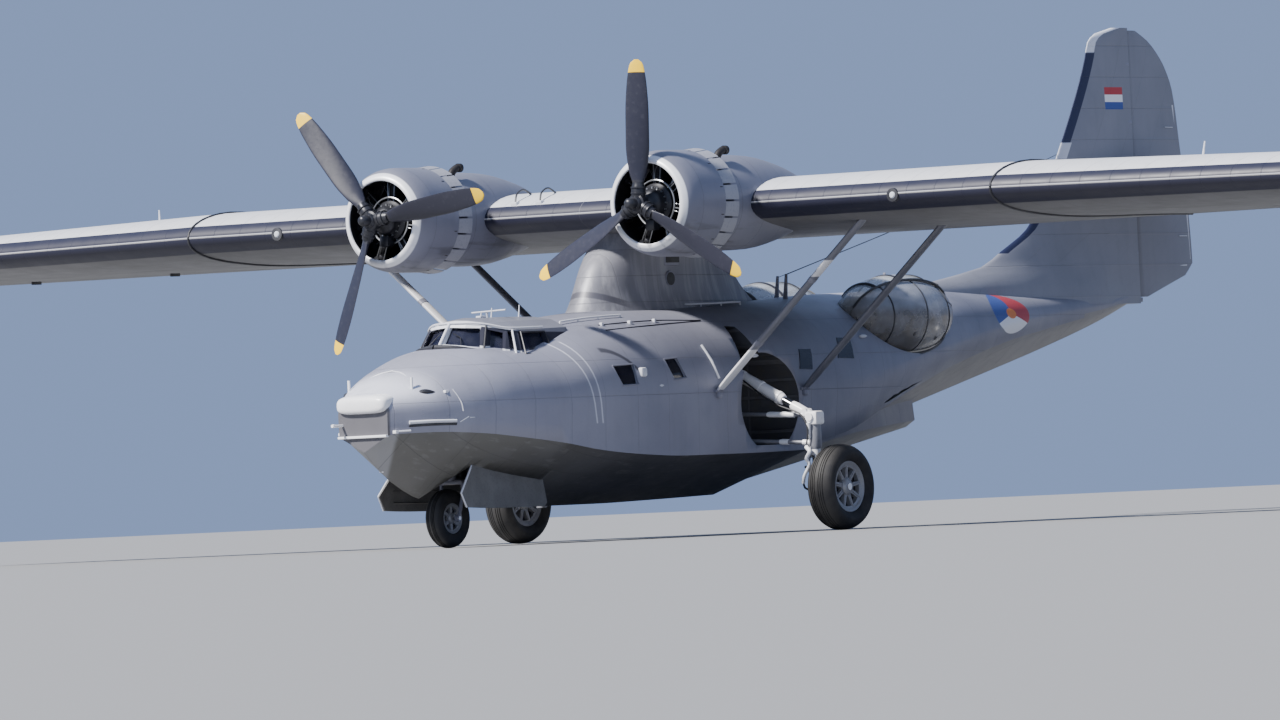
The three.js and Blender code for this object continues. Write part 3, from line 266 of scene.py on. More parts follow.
def studs(bm, centre, count, radius, ahead, length, size, shift=0):
    """Short pins round an axis that runs along the hull."""
    for k in range(count):
        foot = centre + around(2 * pi * (k + shift) / count, radius, ahead)
        pipe(bm, [foot, foot + Vector((0, length, 0))], size, 6)


def add(bm, part):
    """Adds a finished part to a shape."""
    mesh = mesh_of("part", part)
    bm.from_mesh(mesh)
    bpy.data.meshes.remove(mesh)


def mesh_of(name, bm):
    mesh = bpy.data.meshes.new(name)
    bm.to_mesh(mesh)
    bm.free()
    return mesh


def placed(name, data):
    obj = bpy.data.objects.new(name, data)
    bpy.context.scene.collection.objects.link(obj)
    return obj


def rough_object(bm, slots=6):
    mesh = mesh_of("shape", bm)
    for _ in range(slots):
        mesh.materials.append(None)
    return placed("shape", mesh)


def joined(bm, tool, operation="DIFFERENCE", index=0, side=1):
    """One shape cut by, or added to, another. The tool's faces get a material index."""
    flip(tool, side)
    for shape in (bm, tool):
        weld(shape)
    for face in tool.faces:
        face.material_index = index
    base, cutter = rough_object(bm), rough_object(tool)
    change = base.modifiers.new("change", "BOOLEAN")
    change.object, change.operation, change.solver = cutter, operation, "EXACT"
    mesh = bpy.data.meshes.new_from_object(base.evaluated_get(bpy.context.evaluated_depsgraph_get()))
    out = bmesh.new()
    out.from_mesh(mesh)
    for obj in (base, cutter):
        bpy.data.objects.remove(obj)
    return out


def node_shape(name):
    """A merged copy of a node's own mesh."""
    bm = bmesh.new()
    bm.from_mesh(frame["nodes"][name].data)
    bmesh.ops.remove_doubles(bm, verts=bm.verts, dist=WELD)
    return bm


def piece(name, bm, paints, body="airframe", slot=None, replaces=(), sharp=32, chart=None, side=1):
    """A finished piece, and chart maps its surface. A slot is worked out from its first paint if none is
    given, but the piece is not given it.
    """
    paints = paints if isinstance(paints, list) else [paints]
    slot = slot or SLOTS.get(paints[0].name, "grey_paint")
    flip(bm, side)
    weld(bm)
    mesh = mesh_of(name, bm)
    mesh.shade_smooth()
    mesh.set_sharp_from_angle(angle=radians(sharp))
    for paint in paints:
        mesh.materials.append(paint)
    if chart:
        layer = mesh.uv_layers.new(name="chart")
        spots = [chart(v.co) for v in mesh.vertices]
        for loop in mesh.loops:
            layer.data[loop.index].uv = spots[loop.vertex_index]
    obj = placed(name, mesh)
    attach(obj, body)
    if replaces:
        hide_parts(*replaces)
    return obj


# Materials

class Value:
    """A socket of a material. Arithmetic on it adds Math nodes."""

    def __init__(self, paint, socket):
        self.paint, self.socket = paint, socket

    def math(self, operation, *values):
        return self.paint.node("ShaderNodeMath", {"operation": operation}, *values)

    def __add__(self, other):
        return self.math("ADD", self, other)

    def __sub__(self, other):
        return self.math("SUBTRACT", self, other)

    def __rsub__(self, other):
        return self.math("SUBTRACT", other, self)

    def __mul__(self, other):
        return self.math("MULTIPLY", self, other)

    def __truediv__(self, other):
        return self.math("DIVIDE", self, other)

    def __pow__(self, other):
        return self.math("POWER", self, other)

    def __abs__(self):
        return self.math("ABSOLUTE", self)

    __radd__, __rmul__ = __add__, __mul__

    def to(self, other):
        """The larger of two masks."""
        return self.math("MAXIMUM", self, other)


class Paint:
    """A material that is built up in layers from Object coordinates."""

    def __init__(self, name, base, chart=False):
        self.base = base
        self.material = bpy.data.materials.new(name)
        self.material.use_nodes = True
        self.tree = self.material.node_tree
        self.shader = self.tree.nodes["Principled BSDF"]
        self.place = self.node("ShaderNodeTexCoord", out="Object")
        split = self.node("ShaderNodeSeparateXYZ", None, self.place)
        outs = split.socket.node.outputs
        self.x, self.z = Value(self, outs[0]), Value(self, outs[2])
        self.y = Value(self, outs[1]) - OFFSET
        if chart:
            spot = self.node("ShaderNodeUVMap", {"uv_map": "chart"})
            ends = self.node("ShaderNodeSeparateXYZ", None, spot).socket.node.outputs
            self.u, self.v = Value(self, ends[0]), Value(self, ends[1])

    def node(self, kind, settings=None, *values, out=0, **named):
        made = self.tree.nodes.new(kind)
        for key, value in (settings or {}).items():
            if key == "stops":
                for i, (spot, colour) in enumerate(value):
                    stop = made.color_ramp.elements[i] if i < 2 else made.color_ramp.elements.new(spot)
                    stop.position, stop.color = spot, (*colour, 1)
            else:
                setattr(made, key, value)
        pairs = list(enumerate(values)) + [(k.replace("_", " "), v) for k, v in named.items()]
        for key, value in pairs:
            self.feed(made.inputs[key], value)
        return Value(self, made.outputs[out])

    def feed(self, socket, value):
        """Links or sets a socket."""
        if isinstance(value, Value):
            self.tree.links.new(value.socket, socket)
        elif isinstance(value, (tuple, list)) and socket.type == "RGBA":
            socket.default_value = (*value, 1)
        else:
            socket.default_value = value

    def mix(self, factor, a, b):
        made = self.tree.nodes.new("ShaderNodeMix")
        made.data_type = "RGBA"
        for i, value in ((0, factor), (6, a), (7, b)):
            self.feed(made.inputs[i], value)
        return Value(self, made.outputs[2])

    def coat(self, mask, colour):
        """Lays a colour over the base where a mask is 1."""
        self.base = self.mix(mask, self.base, colour)

    def step(self, value, edge, soft=.01):
        """0 below an edge and 1 above it."""
        return self.node("ShaderNodeMapRange", {"interpolation_type": "SMOOTHSTEP"},
                         value, edge - soft / 2, edge + soft / 2, 0.0, 1.0)

    def below(self, value, edge, soft=.01):
        return 1 - self.step(value, edge, soft)

    def band(self, value, low, high, soft=.01):
        return self.step(value, low, soft) * self.below(value, high, soft)

    def noise(self, scale, detail=3, stretch=(1, 1, 1), shift=0):
        spot = self.node("ShaderNodeMapping", None, self.place, (shift, shift, shift), (0, 0, 0), stretch)
        return self.node("ShaderNodeTexNoise", None, Vector=spot, Scale=scale, Detail=detail, Roughness=.55)

    def lines(self, value, spacing, width, soft=.004):
        """Thin lines a spacing apart."""
        return self.below(value.math("PINGPONG", value, spacing / 2), width, soft)

    def rivets(self, along, across, pitch, row, size=.006):
        """Dots a pitch apart, in rows."""
        a, b = along.math("PINGPONG", along, pitch / 2), across.math("PINGPONG", across, row / 2)
        return self.below((a * a + b * b) ** .5, size, size)

    def weather(self, share=.16, soot=.12):
        """Broad fading, streaks down the sides and fine grime."""
        self.fade, streak = self.noise(.9, 4), self.noise(5, 4, (1, 1, .12), 3)
        self.fine = self.noise(26, 3, shift=7)
        self.coat(self.step(streak, .62, .3) * soot, (.08, .08, .085))
        self.coat(self.step(self.fade, .52, .4) * share, (.5, .5, .56))
        self.coat(self.step(self.fine, .66, .16) * .1, (.12, .12, .13))

    def finish(self, rough, metal=0, height=None, depth=.01, **fixed):
        fixed.update(Base_Color=self.base, Roughness=rough, Metallic=metal)
        if height is not None:
            fixed["Normal"] = self.node("ShaderNodeBump", None, Strength=.6, Distance=depth, Height=height)
        for key, value in fixed.items():
            self.feed(self.shader.inputs[key.replace("_", " ")], value)
        return self.material


GREY, PALE, NAVY, WHITE = (.205, .21, .265), (.66, .67, .75), (.012, .013, .032), (.8, .8, .82)
RED, BLUE, ORANGE = (.42, .03, .04), (.03, .07, .28), (.7, .2, .03)
# Centre station and height of the three-sector marking on the tail, and its half length and half height
MARKING = {"station": 14.08, "z": 2.79, "long": .5, "tall": .27, "middle": .13}


def marking(p):
    """Tricolour of three sectors wrapped over the side of the tail, with a round middle."""
    across, up = p.y - MARKING["station"], (p.z - MARKING["z"]) * (MARKING["long"] / MARKING["tall"])
    away = (across * across + up * up) ** .5
    turn = p.node("ShaderNodeMath", {"operation": "ARCTAN2"}, up, across)
    sectors = p.mix(p.step(turn, pi / 2, .02), RED, BLUE)
    sectors = p.mix(p.step(turn, -pi / 6, .02), WHITE, sectors)
    sectors = p.mix(p.below(turn, -5 * pi / 6, .02), sectors, BLUE)
    sectors = p.mix(p.below(away, MARKING["middle"], .012), sectors, ORANGE)
    p.coat(p.below(away, MARKING["long"], .012) * .88, sectors)


def hull_skin():
    p = Paint("hull_skin", GREY)
    p.coat(p.below(p.y, 3.2, 2.6), (.26, .265, .33))
    # Painted light: the deck behind the pylon is lighter, to brighten the shadow that the wing casts there
    p.coat(p.band(p.y, 8.4, 12.4, .6) * p.step(p.z, 2.85, .2), (.36, .37, .43))
    p.coat(p.below(p.y, 1.1, .6) * p.step(p.z, 1.87, .25), PALE)
    p.coat(p.below(p.y, .57, .03), (.12, .117, .13))
    p.coat(p.step(p.y, 11.5, 4) * .4, (.09, .1, .14))
    p.weather()
    above = p.step(p.z, 1.5, .02)
    seams = p.lines(p.y, .62, .0035).to(p.lines(p.z, .46, .003) * above)
    p.coat(seams * .35, (.09, .09, .11))
    # Two pale lapped seams behind the cockpit, and a dark smear over the first window
    for start, lean in ((3.4, .18), (3.56, .12)):
        line = p.y - start - (2.4 - p.z) * lean
        p.coat(p.band(line, -.012, .012, .01) * above * p.below(p.z, 2.56, .02) * .7, PALE)
    arch = p.z - (2.43 - (p.y - 3.95) ** 2.0 * 1.1)
    smear = p.band(arch, -.03, .03, .03) * p.band(p.y, 3.93, 4.47, .06) * p.step(abs(p.x), 1.1, .05)
    p.coat(smear * .75, (.03, .03, .04))
    # Walked deck grip under the wing
    deck = p.step(p.z, 2.9, .1) * p.band(p.y, 4.2, 8.6, .4)
    p.coat(deck * p.step(p.fade, .45, .3) * .35, (.15, .15, .165))
    marking(p)
    dots = p.rivets(p.z, p.y + .31, .05, .62).to(p.rivets(p.y, p.z + .23, .05, .46))
    height = p.fine * .05 + p.fade * .3 - seams * .5 + dots * .25
    return p.finish(p.noise(4, 3) * .2 + .36, .12, height, .012, Specular_IOR_Level=.45)


def bottom_skin():
    p = Paint("bottom_skin", (.125, .122, .112))
    p.coat(p.step(p.y, 3.4, 3.4), (.06, .062, .074))
    p.coat(p.step(p.y, 7.945, .01), (.21, .205, .205))
    # The bare metal of the stem
    p.coat(p.below(p.y + (p.z - 1.44) * .57, .68, .06), (.29, .29, .3))
    p.weather(.07, .1)
    seams = p.lines(p.y, .8, .003).to(p.lines(abs(p.x), .42, .0025))
    p.coat(seams * .4, (.015, .015, .018))
    p.coat(p.step(p.noise(12, 5, (1, .3, 1), 4), .63, .12) * .2, (.3, .3, .3))
    dots = p.rivets(p.y, abs(p.x) + .21, .06, .42)
    return p.finish(p.noise(5, 3) * .25 + .4, 0, p.fine * .1 + p.fade * .2 - seams * .4 + dots * .2)


def cabin_skin():
    p = Paint("cabin_skin", (.1, .105, .09))
    p.weather(.06, .2)
    ribs = p.lines(p.y, .31, .018, .01)
    p.coat(ribs * .5, (.16, .165, .14))
    return p.finish(.62, 0, ribs * .8 + p.fine * .1, .02)


def well_skin():
    p = Paint("well_skin", (.02, .02, .026))
    ribs = p.lines(p.z, .22, .02, .01).to(p.lines(p.y, .3, .02, .01))
    p.coat(ribs, (.05, .05, .058))
    p.coat(p.step(p.noise(7, 4), .55, .2) * .4, (.035, .03, .022))
    return p.finish(.6, 0, ribs, .02)


def plain_paint(name, colour, rough=.42, metal=0, dirt=.2, share=.08, scale=1):
    """A painted or bare part with grime and a slight unevenness."""
    p = Paint(name, colour)
    blotch, fine = p.noise(3 * scale, 4), p.noise(34 * scale, 4, shift=5)
    p.coat(p.step(blotch, .55, .3) * share, (.5, .5, .52))
    p.coat(p.step(fine, .6, .2) * dirt, tuple(c * .35 for c in colour))
    return p.finish(p.noise(9 * scale, 3) * .25 + (rough - .12), metal, fine * .3 + blotch * .2, .002)


RIB, SPAR = .43, .72


def surface_skin(name, top, under, bands=(), marks=None):
    """Wing and tail: chart u is the distance behind the leading edge, negative below, and v is the span."""
    p = Paint(name, under, chart=True)
    p.coat(p.step(p.u, 0, .002), top)
    p.weather(.1, .1)
    ribs, spars = p.lines(p.v, RIB, .005), p.lines(p.u, SPAR, .004)
    fabric = p.step(abs(p.u), 1.9, .02)
    p.coat(ribs * .22 + spars * .2, (.08, .08, .09))
    for low, high, from_v, to_v, colour in bands:
        p.coat(p.band(p.u, low, high, .006) * p.band(p.v, from_v, to_v, .01), colour)
    if marks:
        marks(p)
    tape = p.lines(p.v, RIB, .02, .012) * fabric
    height = p.fine * .04 - ribs.to(spars) * (1 - fabric) * .5 + tape * .25 + p.fade * .3
    return p.finish(p.noise(4, 3) * .2 + .38, .05, height)


def tyre_rubber(name, gear):
    p = Paint(name, (.014, .014, .017))
    spot = p.noise(30, 4)
    p.coat(p.step(p.noise(4, 4, shift=2), .5, .3) * .35, (.06, .056, .05))
    radial = ((p.y - gear["y"]) ** 2.0 + (p.z - gear["radius"]) ** 2.0) ** .5
    tread = p.step(radial, gear["radius"] - .03, .02)
    p.coat(tread * .3, (.05, .048, .045))
    rings = p.lines(radial, .045, .004)
    return p.finish(spot * .2 + .62, 0, spot * .3 - rings * .25 * (1 - tread), .004)


def blade_paint(name, x):
    """Black blades with a yellow tip and a worn metal root."""
    p = Paint(name, (.018, .019, .034))
    away = ((p.x - x) ** 2.0 + (p.z - THRUST_Z) ** 2.0) ** .5
    p.coat(p.step(p.noise(14, 5), .62, .15) * .14, (.09, .09, .11))
    p.coat(p.step(away, 1.668, .008), (.95, .6, .01))
    hub = p.below(away, .3, .02)
    p.coat(hub * .7, (.09, .09, .1))
    return p.finish(p.noise(20, 3) * .2 + .3, hub * .7, p.noise(60, 2) * .2, .001)


def cowl_skin(name):
    p = Paint(name, (.18, .185, .235))
    p.weather(.12, .1)
    p.coat(p.below(p.y, 3.915, .02) * .95, (.85, .86, .9))
    seams = p.lines(p.y - 4.16, .48, .003)
    p.coat(seams * .5, (.05, .05, .06))
    oil = p.step(p.noise(6, 4, (1, .15, 1), 9), .6, .16) * p.below(p.z, 3.95, .5)
    p.coat(oil * .55, (.035, .03, .028))
    return p.finish(p.noise(5, 3) * .18 + .32, .2, p.fine * .04 + p.fade * .25 - seams * .5)


def pylon_skin():
    p = Paint("pylon_skin", (.17, .172, .2))
    p.weather(.16, .3)
    p.coat(p.step(p.noise(7, 5, (1, 1, .1), 2), .55, .2) * .3, (.45, .45, .48))
    seams = p.lines(p.z, .34, .003).to(p.lines(p.y, .7, .003))
    p.coat(seams * .4, (.05, .05, .06))
    strap = p.z - (3.2 - (p.y - 5.18) * .35)
    p.coat(p.band(strap, -.045, .045, .02) * p.below(p.y, 5.65, .3) * .8, (.06, .06, .08))
    return p.finish(.45, .1, p.fine * .05 + p.fade * .2 - seams * .5)


def canopy_paint():
    """White posts and strips, the hull's grey behind the brow, and a post beside each front pane made dark
    as painted shade.
    """
    p = Paint("canopy_paint", (.68, .69, .72))
    p.weather(.05, .1)
    p.coat(p.step(p.y + (p.z - 2.75) * 2.4, 2.86, .06), (.17, .175, .21))
    square = p.x * p.x
    # Painted shade: the post beside each front pane is dark
    post = p.step(square * .2 + p.z, 2.59, .01) * p.below(square * .24 + p.z, 2.83, .01)
    p.coat(post * p.step(abs(p.x), .4, .01), (.025, .025, .04))
    return p.finish(p.noise(6, 3) * .2 + .34, 0, p.fine * .1 + p.fade * .2, .004)


def strut_paint():
    """Grey, with white at the foot and in one short band on the port side, and white to starboard."""
    p = Paint("front_strut", (.14, .145, .18))
    p.coat(p.below(p.z, 2.36).to(p.band(p.z, 3.25, 3.45)).to(p.below(p.x, 0)), (.7, .7, .73))
    p.weather(.1, .14)
    return p.finish(p.noise(9, 3) * .2 + .3, .1, p.fine * .2 + p.fade * .2, .003)


def blister_glass(name, low, high, alpha, edge):
    """Tinted panels, dusty, in one colour below a height and another above it; the paler upper colour is
    painted light for the sky seen through the top.
    """
    p = Paint(name, low)
    haze = p.step(p.noise(4, 4), .45, .4)
    p.coat(p.step(p.z, edge, .16), high)
    p.coat(haze * .3, tuple(min(1, c * 1.8 + .02) for c in high))
    p.coat(p.step(p.noise(22, 4, (1, .3, 1), 5), .62, .1) * .12, (.4, .4, .42))
    return p.finish(haze * .2 + .08, 0, p.noise(3, 2) * .4, .006, Alpha=alpha, IOR=1.5)


def glass_skin(name, tint, alpha, dust=.1):
    p = Paint(name, tint)
    haze = p.step(p.noise(5, 4), .5, .4) * dust
    p.coat(haze, (.4, .4, .42))
    return p.finish(haze * .3 + .06, 0, p.noise(3, 2) * .3, .004, Alpha=alpha, IOR=1.5)


def leather():
    p = Paint("seat_leather", (.05, .028, .016))
    grain = p.node("ShaderNodeTexVoronoi", {"feature": "DISTANCE_TO_EDGE"}, Vector=p.place, Scale=240)
    p.coat(p.step(p.noise(8, 4), .5, .3) * .5, (.1, .062, .04))
    return p.finish(.5, 0, grain * 1.0, .002)


HULL, BOTTOM, CABIN, WELLS = hull_skin(), bottom_skin(), cabin_skin(), well_skin()
WHITE_PAINT = plain_paint("white_enamel", (.88, .88, .9), .3, 0, .06)
DARK = plain_paint("dark_fittings", (.02, .02, .026), .45)
BLACK = plain_paint("instrument_black", (.014, .014, .015), .5)
GREY_PAINT = plain_paint("fitting_grey", GREY, .42, .1)
LEG_GREY = plain_paint("leg_grey", (.2, .205, .235), .42, .1)
STRUT_GREY = plain_paint("strut_grey", (.13, .135, .17), .4, .1, .2)
BARE = plain_paint("bare_alloy", (.4, .41, .43), .34, .85, .25)
STEEL = plain_paint("polished_steel", (.62, .63, .66), .16, 1, .05)
IRON = plain_paint("burnt_iron", (.018, .015, .016), .6, .4, .4, .03, 3)
# The cylinders and crankcase are dark metal made darker still as painted shade for the inside of the cowl;
# the crankcase colour serves the propeller hubs too
ENGINE_METAL = plain_paint("cylinder_alloy", (.035, .035, .042), .45, .7, .5, .05, 3)
CASE_METAL = plain_paint("crankcase_grey", (.022, .023, .03), .36, .3, .3, .04)
WHEEL_METAL = plain_paint("wheel_alloy", (.3, .305, .33), .4, .35, .25)
TRIM_PALE = plain_paint("pale_trim", (.62, .63, .68), .42, 0, .12)
FLOAT_SKIN = plain_paint("float_skin", (.24, .245, .28), .4, .1)
FLAP_PAINT = plain_paint("flap_grey", (.3, .305, .345), .4, .1)
DOOR_PAINT = plain_paint("door_grey", (.115, .112, .108), .45, 0, .3)
CANOPY_GLASS = glass_skin("canopy_glass", (.012, .014, .035), .62, .06)
PANE_GLASS = glass_skin("window_glass", (.006, .006, .014), .93, .04)
DARK_GLASS = glass_skin("cabin_window_glass", (.006, .006, .016), .86, .04)
# Painted light: the blister and hatch glass is paler above a height, for the sky seen through the top
BLISTER_GLASS = blister_glass("blister_glass", (.16, .16, .18), (.5, .53, .58), .38, 2.9)
HATCH_GLASS = blister_glass("hatch_glass", (.18, .16, .14), (.3, .32, .37), .6, 2.86)
CANOPY_PAINT = canopy_paint()
LENS = glass_skin("lamp_lens", (.75, .78, .85), .85, .1)
LEATHER = leather()
COWL_SKINS = {name: cowl_skin(f"{name}_cowl_skin") for name, _ in SIDES}
SLOTS = {paint.name: slot for slot, paints in (
    ("white_paint", (WHITE_PAINT, TRIM_PALE)), ("black_paint", (DARK, BLACK)), ("gear_paint", (LEG_GREY,)),
    ("glass", (DARK_GLASS, PANE_GLASS, BLISTER_GLASS, HATCH_GLASS, LENS)), ("strut_metal", (STEEL,)),
    ("engine_metal", (IRON, ENGINE_METAL, CASE_METAL, BARE)), ("seat_leather", (LEATHER,)),
) for paint in paints}


# Hull

DECK_STEPS, SQUARENESS = 18, 2.3


def deck_curve(half, low, top):
    """Port side of the round deck, from the side up to the middle."""
    angles = [k / DECK_STEPS * pi / 2 for k in range(DECK_STEPS + 1)]
    return [(half * cos(a) ** (2 / SQUARENESS) if a < pi / 2 - TINY else 0,
             low + (top - low) * sin(a) ** (2 / SQUARENESS)) for a in angles]


def both_sides(half, station):
    """A ring from its port half, listed from the keel up to the deck's middle."""
    ring = half + [(-x, z) for x, z in reversed(half) if abs(x) > TINY]
    return [at(x, station, z) for x, z in ring]


def hull_ring(row):
    station, keel, chine_x, chine_z, side_x, side_z, deck = row
    bottom = [(chine_x * t, keel + (chine_z - keel) * t) for t in (0, .34, .67)]
    side = [(chine_x, chine_z), ((chine_x + side_x) / 2, (chine_z + side_z) / 2)]
    return both_sides(bottom + side + deck_curve(side_x, side_z, deck), station)


def room_ring(row, wall=.05):
    """The room inside the hull, above its floor."""
    station, _, chine_x, chine_z, side_x, side_z, deck = row
    floor = max(1.6, chine_z + .05)
    foot = (chine_x + side_x) / 2 - wall * 1.4
    return both_sides([(0, floor), (foot, floor)] + deck_curve(side_x - wall, max(side_z, floor + .05),
                                                              deck - wall), station)


def afterbody_ring(row):
    """The planing bottom behind the step."""
    station, keel, chine_x, chine_z, top_x, top_z = row
    half = [(chine_x * t, keel + (chine_z - keel) * t) for t in (0, .5, 1)] + [(top_x, top_z)]
    return [at(x, station, z) for x, z in half + [(-x, z) for x, z in reversed(half) if x]]


def blister_profile(radius, half, steps=28):
    angles = [pi * k / steps for k in range(steps + 1)]
    return [(radius * max(0, sin(a)) ** .8, -half * cos(a)) for a in angles]


BLISTER_CENTRE = at(BLISTER["x"], BLISTER["y"], BLISTER["z"])
WINDOWS = (
    # corners as (station, z), from the lower front one round
    ((4.07, 1.965), (4.38, 1.975), (4.385, 2.24), (3.985, 2.225)),
    ((5.1, 2.02), (5.37, 2.04), (5.28, 2.305), (5.01, 2.29)),
)
# The leg's slot above each main wheel's well
SLOT = ((6.6, 2.1), (6.68, 2.5), (6.76, 2.7), (6.97, 2.69), (7.03, 2.45), (7.1, 2.3), (7.3, 2.1))
SLOT_MIDDLE = Vector((6.87, 2.4))
# How thick the wall round a well is, and where the room inside the hull ends
WALL, ROOM = .025, (1.75, 12.1)
# Places in the hull's list of materials
BOTTOM_AT, CABIN_AT, WELL_AT = 1, 2, 3


def hull_x(station, z):
    """How far out the hull's side is above the chine."""
    row = row_at(HULL_ROWS if station < 7.94 else AFT_ROWS, station)
    side_x, side_z, deck = row[4:]
    if z < side_z:
        return row[2] + (side_x - row[2]) * (z - row[3]) / (side_z - row[3])
    up = min(1, (z - side_z) / (deck - side_z)) ** (SQUARENESS / 2)
    return side_x * max(0, 1 - up * up) ** (1 / SQUARENESS)


def on_side(station, z, out=0):
    return at(hull_x(station, z) + out, station, z)


def well_shape(wall=0):
    """The main wheel's round well, or the same with a wall round it."""
    bm = bmesh.new()
    inner, radius = WELL["inner"] - wall, WELL["radius"] + wall
    turned(bm, [(0, inner), (radius, inner), (radius, 2), (0, 2)], at(0, WELL["y"], WELL["z"]), X, 72)
    weld(bm)
    clip(bm, (0, 0, WELL["floor"] - wall), (0, 0, -1))
    return bm


def slot_shape(wall=0):
    """The leg's slot, or the same and larger by about a wall."""
    bm = bmesh.new()
    outline = [SLOT_MIDDLE + (Vector(p) - SLOT_MIDDLE) * (1 + wall * 4) for p in SLOT]
    prism(bm, [(WELL["inner"] - wall + .004, *p) for p in outline], (1.04 + wall, 0, 0))
    return bm


def make_hull():
    bm, after, room, nose_well = shapes(4)
    loft(bm, [hull_ring(r) for r in spread(HULL_ROWS, .22) + spread(AFT_ROWS, .3)])
    loft(after, [afterbody_ring(r) for r in spread(AFTERBODY_ROWS, .4)])
    bm = joined(bm, after, "UNION")
    weld(bm)
    chine = spread(HULL_ROWS + AFT_ROWS, .3)
    for face in bm.faces:
        middle = face.calc_center_median()
        row = row_at(chine, middle.y - OFFSET)
        face.material_index = BOTTOM_AT if face.normal.z < -.2 and middle.z < row[3] + .03 else 0
    rows = spread(HULL_ROWS, .4) + spread(AFT_ROWS, .4)
    loft(room, [room_ring(r) for r in rows if ROOM[0] < r[0] < ROOM[1]])
    for _, side in SIDES:
        for tool in (well_shape(WALL), slot_shape(WALL)):
            room = joined(room, tool, side=side)
    bm = joined(bm, room, index=CABIN_AT)
    # The opening under the canopy
    cover = node_shape("canopy_frame")
    bmesh.ops.convex_hull(cover, input=cover.verts)
    bmesh.ops.delete(cover, geom=[v for v in cover.verts if not v.link_faces], context="VERTS")
    space = Matrix.Translation(-at(0, 3.1, 2.7))
    bmesh.ops.scale(cover, vec=(.955, .97, 1), space=space, verts=cover.verts)
    clip(cover, (0, 0, 2.3), (0, 0, -1))
    clip(cover, (0, 3.86, 0), Y)
    bm = joined(bm, cover, index=CABIN_AT)
    half, front, rear = NOSE_WELL["half"], NOSE_WELL["front"], NOSE_WELL["rear"]
    outline = ((-half, front), (0, NOSE_WELL["point"]), (half, front), (half, rear), (-half, rear))
    prism(nose_well, [(*p, 0) for p in outline], (0, 0, NOSE_WELL["top"]))
    bm = joined(bm, nose_well, index=WELL_AT)
    profile = blister_profile(BLISTER["radius"] + .002, BLISTER["half"] + .002)
    for _, side in SIDES:
        for tool in (well_shape(), slot_shape()):
            bm = joined(bm, tool, index=WELL_AT, side=side)
        hole, *openings = shapes(1 + len(WINDOWS))
        turned(hole, profile, BLISTER_CENTRE, Y, 40)
        for opening, corners in zip(openings, WINDOWS):
            prism(opening, [(1.2, *p) for p in corners], X)
        for tool in (hole, *openings):
            bm = joined(bm, tool, side=side)
    sections = [f"hull_{n}" for n in ("bow", "cockpit", "cabin", "centre", "waist", "tail")]
    piece("hull", bm, [HULL, BOTTOM, CABIN, WELLS], replaces=sections, sharp=28)


def side_pane(bm, corners, out, thick=.008):
    """A pane that follows the hull's side between four corners."""
    rings = []
    for k in range(6):
        a, b = corners[0].lerp(corners[3], k / 5), corners[1].lerp(corners[2], k / 5)
        spots = ((a, out), (b, out), (b, out - thick), (a, out - thick))
        rings.append([on_side(p.x, p.y, o) for p, o in spots])
    loft(bm, rings)


def make_side_windows():
    frames, panes = shapes(2)
    for corners in WINDOWS:
        for out, radius in ((.002, .009), (-.03, .014)):
            ring = [on_side(s, z, out) for s, z in (*corners, corners[0])]
            for edge in zip(ring, ring[1:]):
                pipe(frames, edge, radius, 8)
        middle = sum((Vector(c) for c in corners), Vector((0, 0))) / 4
        side_pane(panes, [middle + (Vector(c) - middle) * 1.04 for c in corners], -.032)
    for bm in (frames, panes):
        mirrored(bm)
    piece("window_frames", frames, GREY_PAINT)
    piece("window_panes", panes, DARK_GLASS)


# Pad, plate and fittings of the bow

PAD_ROWS = [
    # station, half width, low z, high z
    (.465, .27, 1.79, 1.875), (.475, .335, 1.76, 1.915), (.5, .375, 1.742, 1.945),
    (.54, .394, 1.736, 1.963), (.6, .402, 1.736, 1.975), (.66, .404, 1.745, 1.985),
]


